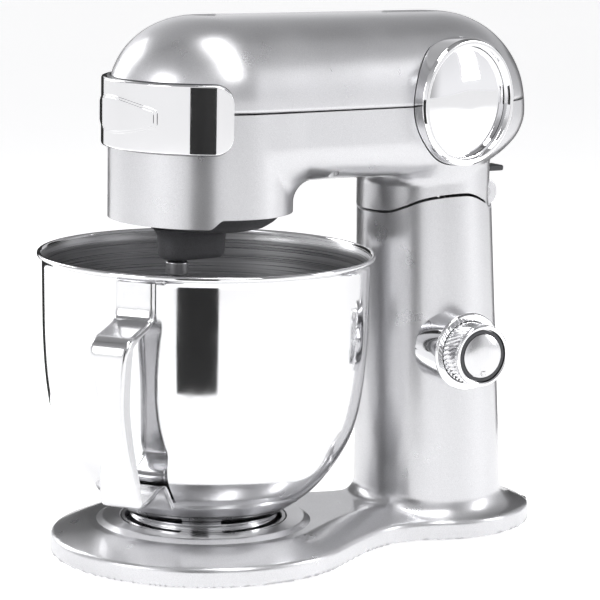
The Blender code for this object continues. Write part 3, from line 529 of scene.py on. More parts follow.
def outline_distance(outline, p):
    """How far outside the outline each point is, negative inside."""
    start, end = outline, np.roll(outline, -1, axis=0)
    along = end - start
    best = np.full(len(p), 1e9)
    inside = np.zeros(len(p), bool)
    for (ax, ay), (dx, dy) in zip(start, along):
        px, py = p[:, 0] - ax, p[:, 1] - ay
        share = np.clip((px * dx + py * dy) / max(dx * dx + dy * dy, 1e-12), 0, 1)
        best = np.minimum(best, (px - share * dx) ** 2 + (py - share * dy) ** 2)
        crossing = (py < 0) != (py - dy < 0)
        if dy:
            inside ^= crossing & (px < py * dx / dy)
    return np.where(inside, -1, 1) * np.sqrt(best)


class BasePlan:
    """The base outline's distance on a fine flat grid, read back smoothly."""

    def __init__(self):
        self.low = np.array((-112.0, -112.0))
        self.shape = (int(224 / BASE_SPACING) + 1, int(380 / BASE_SPACING) + 1)
        xs, ys = (self.low[i] + BASE_SPACING * np.arange(n) for i, n in enumerate(self.shape))
        spots = np.stack(np.meshgrid(xs, ys, indexing="ij"), axis=-1).reshape(-1, 2)
        self.values = outline_distance(base_outline(), spots).reshape(self.shape)

    def __call__(self, p):
        place = (p[:, :2] - self.low) / BASE_SPACING
        corner = np.clip(np.floor(place).astype(int), 0, np.array(self.shape) - 2)
        u, v = (place - corner).T
        i, j = corner.T
        grid = self.values
        low = grid[i, j] * (1 - u) + grid[i + 1, j] * u
        high = grid[i, j + 1] * (1 - u) + grid[i + 1, j + 1] * u
        return low * (1 - v) + high * v


def base_field(plan):
    """The base and its column as one distance field."""
    foot_z, foot_radius, foot_y = COLUMN_FOOT
    head_z, head_radius, head_y = COLUMN_HEAD

    def field(p):
        x, y, z = p.T
        out = plan(p)
        share = np.clip(1 + out / BASE_SLOPE, 0, 1)
        top = (z - BASE_TOP + BASE_RISE * share ** 1.3) * 0.94
        slab = round_overlap(round_overlap(out, top, BASE_EDGE_RADIUS), BASE_BOTTOM - z, 0.8)
        rise = (z - foot_z) / (head_z - foot_z)
        radius = foot_radius + (head_radius - foot_radius) * rise
        column = np.hypot(x, y - foot_y - (head_y - foot_y) * rise) - radius
        column = np.maximum(column, 8 - z)
        column = np.maximum(column, z - 254)
        return fillet_union(slab, column, COLUMN_FILLET)

    return field


def seam_profile(lift, barrel, last_angle):
    seam = smooth_curve([(y, z + lift) for y, z in SEAM], 8)
    around = arc(HINGE, barrel, -150, last_angle, 24)
    return [*seam, *around, (300, around[-1][1])]


# ---------------------------------------------------------------- materials

def finish(name, color, roughness, metallic=0.0, coat=0.0, coat_roughness=0.05):
    """A new material and its Principled shader."""
    mat = bpy.data.materials.new(name)
    mat.use_nodes = True
    shader = mat.node_tree.nodes["Principled BSDF"]
    shader.inputs["Base Color"].default_value = (*color, 1)
    shader.inputs["Roughness"].default_value = roughness
    shader.inputs["Metallic"].default_value = metallic
    shader.inputs["Coat Weight"].default_value = coat
    shader.inputs["Coat Roughness"].default_value = coat_roughness
    return mat


def grain(mat, scale, stretch=(1, 1, 1), detail=3.0):
    """A noise over the object's own coordinates, scale in cycles a metre."""
    nodes, links = mat.node_tree.nodes, mat.node_tree.links
    place = nodes.new("ShaderNodeTexCoord")
    mapping = nodes.new("ShaderNodeMapping")
    mapping.inputs["Scale"].default_value = stretch
    noise = nodes.new("ShaderNodeTexNoise")
    noise.inputs["Scale"].default_value = scale
    noise.inputs["Detail"].default_value = detail
    links.new(place.outputs["Object"], mapping.inputs["Vector"])
    links.new(mapping.outputs["Vector"], noise.inputs["Vector"])
    return noise.outputs["Fac"]


def vary(mat, socket, source, low, high):
    """Lets a noise move one number of the shader between low and high."""
    nodes, links = mat.node_tree.nodes, mat.node_tree.links
    reach = nodes.new("ShaderNodeMapRange")
    reach.inputs["From Min"].default_value = 0.3
    reach.inputs["From Max"].default_value = 0.7
    reach.inputs["To Min"].default_value = low
    reach.inputs["To Max"].default_value = high
    links.new(source, reach.inputs["Value"])
    links.new(reach.outputs["Result"], nodes["Principled BSDF"].inputs[socket])


def tint(mat, source, dark, light):
    """Lets a noise move the colour between two close tones."""
    nodes, links = mat.node_tree.nodes, mat.node_tree.links
    ramp = nodes.new("ShaderNodeValToRGB")
    ramp.color_ramp.elements[0].position = 0.3
    ramp.color_ramp.elements[0].color = (*dark, 1)
    ramp.color_ramp.elements[1].position = 0.7
    ramp.color_ramp.elements[1].color = (*light, 1)
    links.new(source, ramp.inputs["Fac"])
    links.new(ramp.outputs["Color"], nodes["Principled BSDF"].inputs["Base Color"])


def relief(mat, source, strength, depth):
    """A bump of this depth in metres."""
    nodes, links = mat.node_tree.nodes, mat.node_tree.links
    bump = nodes.new("ShaderNodeBump")
    bump.inputs["Strength"].default_value = strength
    bump.inputs["Distance"].default_value = depth
    links.new(source, bump.inputs["Height"])
    links.new(bump.outputs["Normal"], nodes["Principled BSDF"].inputs["Normal"])


def silver_paint():
    """Metallic paint: fine flakes in the colour, a faint orange peel, and a clear coat over it."""
    mat = finish("silver_paint", (0.6, 0.6, 0.615), 0.3, 0.85, coat=0.5, coat_roughness=0.06)
    tint(mat, grain(mat, 2600, detail=1.0), (0.53, 0.53, 0.545), (0.66, 0.66, 0.675))
    vary(mat, "Roughness", grain(mat, 40), 0.27, 0.33)
    relief(mat, grain(mat, 420), 0.04, 0.0001)
    return mat


def chrome_trim():
    mat = finish("chrome_trim", (0.86, 0.86, 0.87), 0.06, 1.0)
    vary(mat, "Roughness", grain(mat, 60), 0.035, 0.075)
    return mat


def polished_stainless():
    """Mirror-polished steel with the faint swirls that polishing leaves."""
    mat = finish("polished_stainless", (0.72, 0.72, 0.73), 0.07, 1.0)
    vary(mat, "Roughness", grain(mat, 160, (1, 1, 0.2)), 0.05, 0.1)
    relief(mat, grain(mat, 26), 0.03, 0.0002)
    return mat


def brushed_stainless():
    """The inside of the bowl, brushed round its axis."""
    mat = finish("brushed_stainless", (0.55, 0.55, 0.56), 0.3, 1.0)
    lines = grain(mat, 60, (0.12, 0.12, 30), 4.0)
    vary(mat, "Roughness", lines, 0.22, 0.4)
    tint(mat, lines, (0.42, 0.42, 0.43), (0.66, 0.66, 0.67))
    relief(mat, lines, 0.12, 0.00008)
    return mat


def satin_steel():
    """The handle and the small turned parts, with fine grinding lines."""
    mat = finish("satin_steel", (0.66, 0.66, 0.67), 0.2, 1.0)
    lines = grain(mat, 90, (12, 12, 1), 3.0)
    vary(mat, "Roughness", lines, 0.15, 0.26)
    relief(mat, lines, 0.05, 0.00005)
    return mat


def machined_steel():
    mat = finish("machined_steel", (0.5, 0.5, 0.51), 0.3, 1.0)
    lines = grain(mat, 240, (0.3, 0.3, 4), 3.0)
    vary(mat, "Roughness", lines, 0.24, 0.4)
    relief(mat, lines, 0.1, 0.00006)
    return mat


def dark_plastic():
    mat = finish("dark_plastic", (0.035, 0.036, 0.04), 0.38)
    vary(mat, "Roughness", grain(mat, 300), 0.34, 0.46)
    relief(mat, grain(mat, 1500), 0.15, 0.00005)
    return mat


def hub_grey():
    mat = finish("hub_grey", (0.13, 0.13, 0.138), 0.34, 0.4)
    tint(mat, grain(mat, 1800, detail=1.0), (0.11, 0.11, 0.117), (0.16, 0.16, 0.168))
    vary(mat, "Roughness", grain(mat, 120), 0.3, 0.42)
    return mat


def rubber_foot():
    mat = finish("rubber_foot", (0.02, 0.02, 0.021), 0.75)
    vary(mat, "Roughness", grain(mat, 500), 0.65, 0.85)
    relief(mat, grain(mat, 1200), 0.25, 0.0001)
    return mat


def gear_nylon():
    mat = finish("gear_nylon", (0.72, 0.7, 0.64), 0.42)
    tint(mat, grain(mat, 90), (0.68, 0.66, 0.6), (0.76, 0.74, 0.68))
    relief(mat, grain(mat, 900), 0.1, 0.00005)
    return mat


def copper_winding():
    """Lacquered wire, laid in fine turns."""
    mat = finish("copper_winding", (0.62, 0.27, 0.11), 0.3, 0.9, coat=0.3)
    lines = grain(mat, 700, (1, 1, 5), 2.0)
    tint(mat, lines, (0.4, 0.15, 0.06), (0.74, 0.34, 0.15))
    relief(mat, lines, 0.4, 0.0002)
    return mat


def circuit_board():
    mat = finish("circuit_board", (0.02, 0.14, 0.06), 0.3, coat=0.3)
    tint(mat, grain(mat, 350), (0.012, 0.1, 0.04), (0.03, 0.19, 0.08))
    relief(mat, grain(mat, 500), 0.2, 0.0002)
    return mat


def raw_aluminium():
    mat = finish("raw_aluminium", (0.58, 0.58, 0.59), 0.45, 1.0)
    tint(mat, grain(mat, 220), (0.5, 0.5, 0.51), (0.64, 0.64, 0.65))
    relief(mat, grain(mat, 800), 0.25, 0.00012)
    return mat


# ---------------------------------------------------------------- head housings

def place(obj, body, slot, *nodes):
    """The piece rides on a body and stands for these CAD nodes, which are hidden. The slot is not used."""
    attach(obj, body)
    if nodes:
        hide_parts(*nodes)
    return obj


def head_outline(z, wall=0.0):
    """The plan of the upper housing at height z, or that of its hollow."""
    shoulder = float(quarter_round((z - SHOULDER_START) / (HEAD_TOP - SHOULDER_START)))
    steep = 1 - shoulder
    nose = NOSE_RADIUS - SHOULDER_INSET * shoulder - wall * steep
    half = REAR_HALF_WIDTH - (SHOULDER_INSET - 7) * shoulder - wall * steep
    end = float(rear_end(z)) - wall * steep
    lean = math.degrees(math.asin((nose - half) / REAR_START))
    front = arc((0, 0), nose, -90, lean, 48)
    rear = arc((0, REAR_START), half, lean, 90, 48)
    side = [tuple(Vector(front[-1]).lerp(Vector(rear[0]), i / 36)) for i in range(1, 36)]
    stretch = (end - REAR_START) / half
    rear = [(x, y if y < REAR_START else REAR_START + (y - REAR_START) * stretch) for x, y in rear]
    half_outline = [*front, *side, *rear]
    half_outline[-1] = (0.0, end)
    outline = [*half_outline, *[(-x, y) for x, y in half_outline[-2:0:-1]]]
    level = z - wall * math.sqrt(max(1 - steep * steep, 0))
    return [(x, y, level) for x, y in outline]


def upper_levels(count):
    rise = HEAD_TOP - SHOULDER_START
    angles = [90 * i / count for i in range(1, count + 1)]
    return [SHOULDER_START + rise * math.sin(math.radians(a)) for a in angles]


def disc_turn(side):
    return (0, side * math.pi / 2, side * math.radians(DISC_TURN))


def disc_spot(side):
    return (side * DISC_CENTER[0], DISC_CENTER[1], DISC_CENTER[2])


def disc_recesses():
    profile = ((0, 60), (DISC_RADIUS + 0.5, 60), (DISC_RADIUS + 0.5, -14.4), (0, -14.4))
    return [turned(f"recess_{side}", profile, at=disc_spot(side), turn=disc_turn(side)) for side in (1, -1)]


def port_cut():
    profile = ((0, 90), (16, 90), (16, 42), (0, 42))
    return turned("port", profile, at=(0, 0, PORT_Z), turn=(math.pi / 2, 0, 0), steps=48)


def mesh_source(obj):
    """The source of shading from a smooth mesh as it stands, before it is cut."""
    mesh = obj.data
    points = np.array([v.co for v in mesh.vertices]) / MM
    normals = np.array([v.normal for v in mesh.vertices])
    quads = np.array([tuple(f.vertices) for f in mesh.polygons if len(f.vertices) == 4])
    return shading_source(points, quads, normals)


def build_upper_housing(paint):
    levels = [SPLIT_Z + SPLIT_GAP, 305, 307, SHOULDER_START, *upper_levels(30)]
    body = loft("upper_housing_shell", [head_outline(z) for z in levels], paint)
    source = mesh_source(body)
    inner = [head_outline(z, WALL) for z in (SPLIT_Z, SHOULDER_START, *upper_levels(8))]
    under = [(x, y, SPLIT_Z - 10) for x, y, _ in inner[0]]
    boolean(body, "DIFFERENCE", loft("hollow", [under, *inner]), port_cut(), *disc_recesses())
    return place(restore_shading(body, source), "head", "silver_paint", "upper_housing")


def skirt_cut():
    """What is taken off the drum's bottom: level at the front, and a smooth step up towards the rear."""
    step = [(SKIRT_STEP_Y + 9 * (t - 0.6), DRUM_BOTTOM + SKIRT_STEP * t * t * (3 - 2 * t))
            for t in (i / 12 for i in range(13))]
    outline = [(-90, DRUM_BOTTOM), *step, (90, DRUM_BOTTOM + SKIRT_STEP), (90, 205), (-90, 205)]
    return side_prism("skirt_cut", outline, 80)


def build_lower_housing(paint):
    body, source = shell(
        "lower_housing_shell", lower_head, lambda p: lower_head(p) + WALL,
        (-72, -72, 204), (72, 252, 318), paint,
    )
    profile = seam_profile(SEAM_GAP, BARREL_RADIUS, HEAD_REAR_ANGLE)
    below = side_prism("column_space", [(100, profile[0][1]), *profile, (300, 150), (100, 150)], 80)
    ears = [
        cross_rod(
            f"ear_space_{side}", BARREL_CUT,
            *sorted((side * (EAR_INSIDE - 0.5), side * (EAR_OUTSIDE + 0.5))), *HINGE,
        )
        for side in (-1, 1)
    ]
    top = block("top_cut", (-90, -90, SPLIT_Z - SPLIT_GAP), (90, 270, 340))
    lever = block("lever_slot", (-8.5, 196, 246.9), (8.5, 250, 257))
    latch = block("latch_way", (-5.5, 184, 215), (5.5, 199, 258))
    screws = [
        turned(
            f"screw_way_{side}", ((0, 200), (3.6, 200), (3.6, 270), (0, 270)),
            at=(side * 52, 66, 0), steps=32,
        )
        for side in (-1, 1)
    ]
    boolean(
        body, "DIFFERENCE",
        top, below, skirt_cut(), *ears, lever, latch, *screws, port_cut(), *disc_recesses(),
    )
    return place(restore_shading(body, source), "head", "silver_paint", "lower_housing")


# ---------------------------------------------------------------- base and column

def build_base(paint):
    field = base_field(BasePlan())

    def hollow(p):
        keep = np.maximum(np.hypot(p[:, 0], p[:, 1]) - SEAT_RADIUS - WALL, SEAT_FLOOR - WALL - p[:, 2])
        return np.maximum(field(p) + WALL, -keep)

    low, high = (-108, -108, -4), (108, 264, 260)
    body, source = shell("base_and_column", field, hollow, low, high, paint)
    profile = seam_profile(-SEAM_GAP, BARREL_CUT, COLUMN_REAR_ANGLE)
    above = side_prism("head_space", [(100, profile[0][1]), *profile, (300, 400), (100, 400)], 80)
    recess = turned("recess", ((0, SEAT_FLOOR), (SEAT_RADIUS, SEAT_FLOOR), (SEAT_RADIUS, 60), (0, 60)))
    slot = block("latch_slot", (-5.5, 165, 217), (5.5, 199, 250))
    boolean(body, "DIFFERENCE", above, recess, slot)
    place(restore_shading(body, source), "base", "silver_paint", "base_casting")

    seat = rounded(((SEAT_RADIUS, 18), (SEAT_RADIUS, 25), (68, 25), (75.5, 20.6), (76, 18)), 1.0)
    place(crisp(turned("seat_ring", seat, paint)), "base", "silver_paint")
    for number, side in enumerate((-1, 1), start=1):
        inner, outer = sorted((side * EAR_INSIDE, side * EAR_OUTSIDE))
        knuckle = soften(
            cross_rod(f"hinge_knuckle_{number}", BARREL_RADIUS, inner, outer, *HINGE, paint), 0.8,
        )
        place(knuckle, "base", "silver_paint")
        web = block(f"hinge_web_{number}", (inner + 0.4, 199.5, 205), (outer - 0.4, 211.5, 233.5), paint)
        place(soften(web, 0.6), "base", "silver_paint")


# ---------------------------------------------------------------- trim on the head

def build_side_trim(chrome):
    ring = rounded(
        (
            (0, -12.5), (37.5, -12.5), (37.5, 1.5), (38.8, 3.6),
            (41.4, 3.6), (43, 1.6), (43, -14), (0, -14),
        ),
        0.5,
    )
    dome = [(37.2 * t, 3.4 - 5.0 * t ** 2.4) for t in (i / 24 for i in range(25))]
    medallion = [*dome, (37.2, -2.4), (37.2, -5), (0, -5)]
    for side, name in ((1, "right"), (-1, "left")):
        for kind, profile in (("trim_ring", ring), ("medallion", medallion)):
            piece = crisp(turned(f"{kind}_{name}", profile, chrome, at=disc_spot(side), turn=disc_turn(side)))
            place(piece, "head", "chrome_trim", f"side_{kind}_{name}")


def wrapped_plate(name, inner, outer, half_angle, half_height, corner, edge, *materials):
    """A plate with round corners and soft edges that wraps round the nose, lofted column by column.

    half_height(share) gives half its height, at a share of the way from its middle to its ends.
    """
    sweep = math.degrees(corner / outer)
    places = [half_angle - sweep * (1 - math.sin(math.radians(a))) for a in range(90, 0, -9)]
    places += [(half_angle - sweep) * i / 24 for i in range(24, -1, -1)]
    places = [*places, *[-p for p in places[-2::-1]]]
    rings = []
    for number, angle in enumerate(places):
        from_end = half_angle - abs(angle)
        cut = corner * (1 - math.sqrt(max(1 - (1 - min(from_end / sweep, 1)) ** 2, 0)))
        half = half_height(abs(angle) / half_angle) - cut
        thin = edge if number in (0, len(places) - 1) else 0
        section = [
            (inner, -half), (outer - edge - thin, -half), (outer - edge * 0.3 - thin, -half + edge * 0.3),
            (outer - thin, -half + edge),
            (outer - thin, half - edge),
            (outer - edge * 0.3 - thin, half - edge * 0.3),
            (outer - edge - thin, half), (inner, half),
        ]
        turn = math.radians(angle)
        rings.append([(r * math.sin(turn), -r * math.cos(turn), PORT_Z + z) for r, z in section])
    return crisp(loft(name, rings, *materials))


def build_accessory_cover(chrome, dark):
    cover = wrapped_plate("front_cover", NOSE_RADIUS + 0.4, COVER_RADIUS, 75, lambda t: 22.5, 12, 1.4, chrome)
    place(cover, "front_cover", "chrome_trim", "accessory_cover")
    # A dark plate a little larger than the cover: its thin rim round the cover's edges is painted shadow for
    # the gap between the cover and the head, not a real gasket.
    painted_shadow_rim = wrapped_plate(
        "cover_painted_shadow_rim", NOSE_RADIUS - 1, NOSE_RADIUS + 0.9, 75.6, lambda t: 23.1, 12.4, 0.2, dark,
    )
    place(painted_shadow_rim, "head", "dark_plastic")
    plaque = wrapped_plate(
        "front_plaque", COVER_RADIUS - 0.6, COVER_RADIUS + 0.5,
        34, lambda t: 12.3 - 6.6 * t ** 1.6, 2.4, 0.3, chrome,
    )
    place(plaque, "front_cover", "chrome_trim", "cover_plaque")
    panel = wrapped_plate(
        "plaque_panel", COVER_RADIUS - 0.4, COVER_RADIUS + 0.9,
        32, lambda t: 10.9 - 6.4 * t ** 1.6, 2.0, 0.3, chrome,
    )
    place(panel, "front_cover", "chrome_trim")


# ---------------------------------------------------------------- speed dial

def knurl(radius, height, angle):
    """Slanted ribs round the knob's grip, which fade out before its front edge."""
    if radius < 20.4 or not 66 < height < 81.4:
        return radius
    fade = min(1, (height - 66) / 1.5, (81.4 - height) / 1.5)
    wave = math.cos(KNURLS * angle + height * 0.9)
    return radius - 0.55 * fade * (1 - wave)


def build_dial(chrome, dark, satin):
    across = (0, math.pi / 2, 0)
    collar = rounded(((21.5, 40), (21.5, 66), (25.7, 66), (26.7, 64.8), (26.7, 40)), 0.5)
    piece = crisp(turned("dial_bezel", collar, chrome, at=DIAL_CENTER, turn=across))
    place(piece, "base", "chrome_trim", "dial_collar")
    grip = [(21, 60 + i * 0.75) for i in range(30)]
    knob = [
        (0, 79.5), (17.8, 79.5), (18.3, 82.6), (19, 83), (20, 83), (20.7, 82.7),
        *grip[::-1], (4.5, 60), (0, 60),
    ]
    piece = turned("dial_grip", knob, chrome, at=DIAL_CENTER, turn=across, steps=480, ripple=knurl)
    place(crisp(piece), "dial", "chrome_trim", "dial_knob")
    ring = rounded(((15.1, 79), (15.1, 82.1), (17.5, 82.1), (17.5, 79)), 0.4)
    piece = crisp(turned("dial_ring", ring, dark, at=DIAL_CENTER, turn=across))
    place(piece, "dial", "dark_plastic", "dial_light_ring")
    cap = [(14.8 * t, 84.6 - 2.2 * t ** 3) for t in (i / 20 for i in range(21))]
    cap = [*cap, (14.8, 79.8), (0, 79.8)]
    piece = crisp(turned("dial_face", cap, satin, at=DIAL_CENTER, turn=across))
    place(piece, "dial", "machined_steel", "dial_cap")
    _, y, z = DIAL_CENTER
    pointer = block("dial_pointer", (82, y - 1.6, z - 13.6), (84.5, y + 1.6, z - 10), satin)
    place(soften(pointer, 0.7, 3), "dial", "machined_steel")


# ---------------------------------------------------------------- bowl and handle

def bowl_outside():
    points = (
        (109.2, 199), (108.9, 175), (108.3, 147), (106.5, 121), (103, 98),
        (97.8, 81), (88.5, 64), (76.5, 49), (65, 39), (54, 31.6),
    )
    return smooth_curve(points, 6)


def offset_profile(points, distance):
    moved = []
    for i, (radius, z) in enumerate(points):
        before, after = points[max(i - 1, 0)], points[min(i + 1, len(points) - 1)]
        along = Vector((after[0] - before[0], after[1] - before[1])).normalized()
        moved.append((radius + along.y * distance, z - along.x * distance))
    return moved


def build_bowl(polished, brushed, satin):
    outside = bowl_outside()
    inside = offset_profile(outside, 1.3)
    lip = smooth_curve(
        ((109.3, 203), (110.2, 204.3), (111.4, 204.6), (112.4, 203.8), (112.3, 202.2), (110.9, 201)), 4,
    )
    corner = rounded((outside[-1], (51.5, 30), (0, 30)), 3)
    floor = rounded(((0, 31.3), (50.5, 31.3), inside[-1]), 4)
    profile = [*floor[:-1], *reversed(inside), *lip, *outside, *corner[1:]]
    bowl = turned("mixing_bowl", profile, polished, brushed, steps=192)
    for face in bowl.data.polygons:
        spot, normal = face.center, face.normal
        radius = math.hypot(spot.x, spot.y)
        inner = radius < 109 * MM and (normal.x * spot.x + normal.y * spot.y < 0 or normal.z > 0.6)
        face.material_index = 1 if inner else 0
    place(bowl, "bowl_body", "polished_stainless", "bowl")

    foot = rounded(((47.8, 30.4), (50.8, 30.4), (50.3, 28), (50.3, 20.2), (47.8, 20.2)), 0.6)
    place(crisp(turned("bowl_foot_ring", foot, polished)), "bowl_body", "polished_stainless", "bowl_foot")
    for number in range(3):
        middle = 90 + 120 * number
        lug = [
            *arc((0, 0), 52.7, middle - 13, middle + 13, 12),
            *arc((0, 0), 49.5, middle + 13, middle - 13, 12),
        ]
        piece = soften(prism(f"bowl_lug_{number + 1}", lug, 20.4, 22.8, satin), 0.5)
        place(piece, "bowl_body", "polished_stainless")


def build_handle(satin):
    """A pressed strap whose edges curl back, lofted along its path down the bowl's front."""
    stations = (
        (112.0, 199.5, 13.5, 2.6), (112.0, 189, 13.5, 2.6),
        (112.2, 181, 13.5, 2.6), (115.8, 175.6, 13.5, 2.8),
        (131, 171.6, 13.6, 3.6), (143.5, 168.2, 13.6, 6), (149, 161, 13, 9), (148.6, 148, 11, 11),
        (145.2, 122, 8.6, 11), (140.4, 96, 9.6, 10), (135, 72, 12.6, 8), (130.5, 60, 13.8, 4.5),
        (122, 57, 14, 3.2), (109, 59.3, 14, 2.8), (99, 63, 14, 2.6), (93.6, 63.2, 14, 2.6),
        (89.8, 60, 14, 2.6), (84.8, 53.6, 14, 2.6), (79, 46.5, 14, 2.6),
    )
    path = smooth_curve(stations, 6)
    azimuth = math.radians(HANDLE_AZIMUTH)
    outward = Vector((math.cos(azimuth), math.sin(azimuth), 0))
    across = Vector((-math.sin(azimuth), math.cos(azimuth), 0))
    up = Vector((0, 0, 1))
    sheet = 2.2
    rings = []
    for i, (radius, z, half, flange) in enumerate(path):
        before, after = path[max(i - 1, 0)], path[min(i + 1, len(path) - 1)]
        along = (outward * (after[0] - before[0]) + up * (after[1] - before[1])).normalized()
        back = across.cross(along).normalized()
        spot = outward * radius + up * z
        bend = min(2.4, flange - 0.2)
        side = [
            (-half, flange), (-half, bend), (-half + 0.5, bend * 0.45), (-half + 1.6, 0.3), (-half + 3.4, 0),
        ]
        inner = [
            (-half + sheet, flange),
            (-half + sheet, min(sheet + 1, flange - 0.1)),
            (-half + sheet + 1.2, sheet),
        ]
        section = [*side, *[(-s, d) for s, d in reversed(side)]]
        section += [*[(-s, d) for s, d in inner], *reversed(inner)]
        rings.append([spot + across * s + back * max(d, 0) for s, d in section])
    handle = crisp(loft("handle_strap", rings, satin))
    place(handle, "bowl_body", "polished_stainless", "bowl_handle")


# ---------------------------------------------------------------- planetary head and lever

def build_planetary(grey, steel):
    dish = smooth_curve(((48.4, 233.8), (49.2, 232.6), (49, 230.6), (45, 226.4), (39, 222.6)), 4)
    hub = turned("planetary_dish", [(0, 236), (30, 236), *dish, (34, 221.4), (0, 221)], grey)
    boss = []
    for grow, z in HUB_BOSS_LEVELS:
        near = arc((0, 0), 12 + grow, 0, 180, 33)
        far = arc((0, -ORBIT), 13 + grow, 180, 360, 33)
        boss.append([(x, y, z) for x, y in [*near, *far]])
    place(crisp(hub), "planetary", "hub_grey", "planetary_hub")
    place(crisp(loft("planetary_boss", boss, grey)), "planetary", "hub_grey")

    spot = (0, -ORBIT, 0)
    collar = rounded(((5, 200.6), (7.5, 198.8), (7.5, 191.2), (5, 189.6)), 0.6)
    ribs = []
    for number in range(6):
        z = 187.5 - number * 1.6
        ribs += [(4.5, z), (5.0, z - 0.4), (5.0, z - 0.9), (4.5, z - 1.3)]
    profile = [(0, 248), (5, 248), *collar, (5, 188), *ribs, (5, 177), (5, 159.4), (4, 158), (0, 158)]
    piece = crisp(turned("drive_shaft", profile, steel, at=spot, steps=64))
    place(piece, "beater", "machined_steel", "beater_shaft")
    rings = []
    turns, points = 6, 6 * 40
    for i in range(points + 1):
        angle = 2 * math.pi * turns * i / points
        z = 175.4 + 13.2 * i / points
        outward = Vector((math.cos(angle), math.sin(angle), 0))
        center = outward * 6.4 + Vector((0, -ORBIT, z))
        rings.append([
            center + (outward * math.cos(a) + Vector((0, 0, 1)) * math.sin(a)) * 0.6
            for a in (2 * math.pi * k / 10 for k in range(10))
        ])
    place(loft("shaft_spring", rings, steel), "beater", "machined_steel", "beater_spring")
    pin = cross_rod("drive_pin", 1.5, -9, 9, -ORBIT, 168, steel, steps=32)
    place(soften(pin, 0.4), "beater", "machined_steel", "beater_pin")


def build_lever(dark):
    lever = soften(block("head_release_lever", (-7.4, 197.6, 248.4), (7.4, 233, 252.4), dark), 1.3, 4)
    place(lever, "lever_body", "dark_plastic", "release_lever")


# ---------------------------------------------------------------- studio

def build_camera():
    a, e, roll = (math.radians(v) for v in (CAMERA_AZIMUTH, CAMERA_ELEVATION, CAMERA_ROLL))
    back = Vector((math.sin(a) * math.cos(e), -math.cos(a) * math.cos(e), math.sin(e)))
    level = Vector((math.cos(a), math.sin(a), 0))
    upright = back.cross(level)
    right = level * math.cos(roll) + upright * math.sin(roll)
    up = upright * math.cos(roll) - level * math.sin(roll)
    data = bpy.data.cameras.new("camera")
    data.lens = CAMERA_LENS
    data.clip_end = 50
    camera = bpy.data.objects.new("camera", data)
    camera.matrix_world = Matrix.Translation(CAMERA_PLACE) @ Matrix((right, up, back)).transposed().to_4x4()
    bpy.context.scene.collection.objects.link(camera)
    bpy.context.scene.camera = camera


def build_world():
    """A pale studio: white behind the mixer, grey above and dark upright bands in what the metal mirrors."""
    world = bpy.data.worlds.new("studio")
    bpy.context.scene.world = world
    world.use_nodes = True
    nodes, links = world.node_tree.nodes, world.node_tree.links
    nodes.clear()
    place_of = nodes.new("ShaderNodeTexCoord")
    parts = nodes.new("ShaderNodeSeparateXYZ")
    around = nodes.new("ShaderNodeMath")
    around.operation = "ARCTAN2"
    turn = nodes.new("ShaderNodeMapRange")
    turn.inputs["From Min"].default_value = -math.pi
    turn.inputs["From Max"].default_value = math.pi
    links.new(place_of.outputs["Generated"], parts.inputs["Vector"])
    links.new(parts.outputs["Y"], around.inputs[0])
    links.new(parts.outputs["X"], around.inputs[1])
    links.new(around.outputs["Value"], turn.inputs["Value"])
    flags = nodes.new("ShaderNodeValToRGB")
    fill_ramp(flags.color_ramp, FLAGS)
    links.new(turn.outputs["Result"], flags.inputs["Fac"])
    height = nodes.new("ShaderNodeMapRange")
    height.inputs["From Min"].default_value = -1
    height.inputs["From Max"].default_value = 1
    links.new(parts.outputs["Z"], height.inputs["Value"])
    levels = nodes.new("ShaderNodeValToRGB")
    fill_ramp(levels.color_ramp, LEVELS)
    links.new(height.outputs["Result"], levels.inputs["Fac"])
    mix = nodes.new("ShaderNodeMixRGB")
    mix.blend_type = "MULTIPLY"
    mix.inputs["Fac"].default_value = 1
    links.new(flags.outputs["Color"], mix.inputs["Color1"])
    links.new(levels.outputs["Color"], mix.inputs["Color2"])
    mirrored = nodes.new("ShaderNodeBackground")
    links.new(mix.outputs["Color"], mirrored.inputs["Color"])
    seen = nodes.new("ShaderNodeBackground")
    seen.inputs["Color"].default_value = (1, 1, 1, 1)
    path = nodes.new("ShaderNodeLightPath")
    choice = nodes.new("ShaderNodeMixShader")
    out = nodes.new("ShaderNodeOutputWorld")
    links.new(path.outputs["Is Camera Ray"], choice.inputs["Fac"])
    links.new(mirrored.outputs["Background"], choice.inputs[1])
    links.new(seen.outputs["Background"], choice.inputs[2])
    links.new(choice.outputs["Shader"], out.inputs["Surface"])


def fill_ramp(ramp, stops):
    ramp.interpolation = "EASE"
    while len(ramp.elements) < len(stops):
        ramp.elements.new(0.5)
    for element, (place_at, value) in zip(ramp.elements, stops):
        element.position = place_at
        element.color = (value, value, value * 1.01, 1)


def softbox(name, at, target, size, power):
    data = bpy.data.lights.new(name, "AREA")
    data.shape = "RECTANGLE"
    data.size, data.size_y = size
    data.energy = power
    lamp = bpy.data.objects.new(name, data)
    lamp.location = at
    direction = Vector(target) - Vector(at)
    lamp.rotation_euler = direction.to_track_quat("-Z", "Y").to_euler()
    bpy.context.scene.collection.objects.link(lamp)
    return lamp


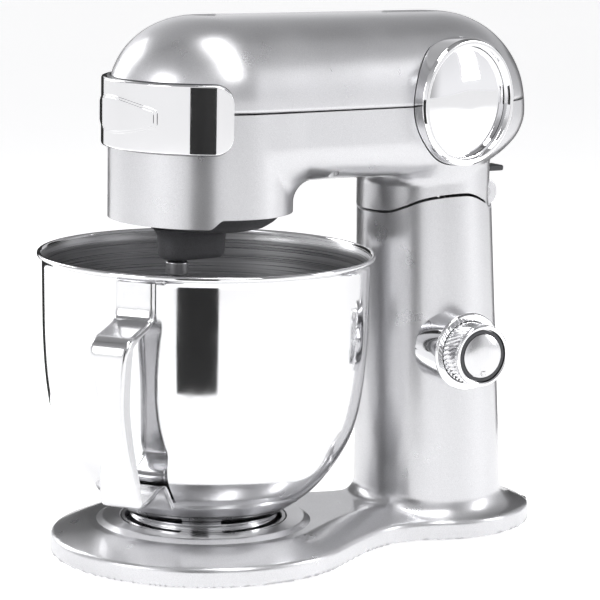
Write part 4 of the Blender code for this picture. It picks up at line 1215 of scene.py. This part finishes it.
def build_studio():
    build_world()
    softbox("overhead", (0.55, 0.0, 1.35), (0, 0, 0.25), (0.35, 1.5), 10)
    softbox("right", (1.2, 1.9, 1.0), (0, 0.1, 0.2), (0.5, 1.2), 14)
    softbox("front", (0.2, -1.9, 0.9), (0, 0, 0.2), (0.8, 1.0), 10)
    softbox("left", (-1.4, -0.6, 0.8), (0, 0, 0.2), (0.7, 1.0), 8)
    flag("camera_flag", CAMERA_AZIMUTH - 3, 450, 200, 330)
    flag("far_flag_right", CAMERA_AZIMUTH + 150, 520, 300, 400)
    flag("far_flag_left", CAMERA_AZIMUTH - 160, 450, 300, 400)
    floor = turned("floor", ((0, 0), (9000, 0), (9000, -20), (0, -20)), floor_finish(), steps=64)
    floor.location.z = -0.0005


def flag(name, azimuth, distance, width, height):
    """A black cloth on a frame, which only what is mirrored shows. Azimuth as the camera's."""
    a = math.radians(azimuth)
    cloth = block(name, (-width / 2, -5, -60), (width / 2, 5, height), flag_finish())
    cloth.rotation_euler.z = a
    cloth.location = (distance * MM * math.sin(a), BOWL_AXIS_Y * MM - distance * MM * math.cos(a), 0)
    cloth.visible_camera = False
    cloth.visible_diffuse = False
    cloth.visible_shadow = False


def flag_finish():
    mat = finish("black_cloth", (0.01, 0.01, 0.01), 0.9)
    vary(mat, "Roughness", grain(mat, 200), 0.85, 0.95)
    return mat


def floor_finish():
    mat = finish("floor", (0.9, 0.9, 0.9), 0.7)
    shader = mat.node_tree.nodes["Principled BSDF"]
    shader.inputs["Emission Color"].default_value = (1, 1, 1, 1)
    shader.inputs["Emission Strength"].default_value = FLOOR_GLOW
    vary(mat, "Roughness", grain(mat, 3), 0.65, 0.75)
    return mat


# ---------------------------------------------------------------- the whole scene

def main():
    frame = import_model()
    build_camera()
    build_studio()
    makers = (
        silver_paint, chrome_trim, polished_stainless, machined_steel, dark_plastic, hub_grey, rubber_foot,
        gear_nylon, copper_winding, circuit_board, raw_aluminium,
    )
    finishes = {maker.__name__: maker() for maker in makers}
    brushed, satin = brushed_stainless(), satin_steel()
    for row in frame["record"]["subparts"]:
        node = frame["nodes"][row["node"]]
        node.data.materials.clear()
        node.data.materials.append(finishes[row["material_slot"]])
    build_upper_housing(finishes["silver_paint"])
    build_lower_housing(finishes["silver_paint"])
    build_base(finishes["silver_paint"])
    build_side_trim(finishes["chrome_trim"])
    build_accessory_cover(finishes["chrome_trim"], finishes["dark_plastic"])
    build_dial(finishes["chrome_trim"], finishes["dark_plastic"], satin)
    build_bowl(finishes["polished_stainless"], brushed, satin)
    build_handle(satin)
    build_planetary(finishes["hub_grey"], finishes["machined_steel"])
    build_lever(finishes["dark_plastic"])
    bpy.context.scene.view_settings.view_transform = "Standard"


main()
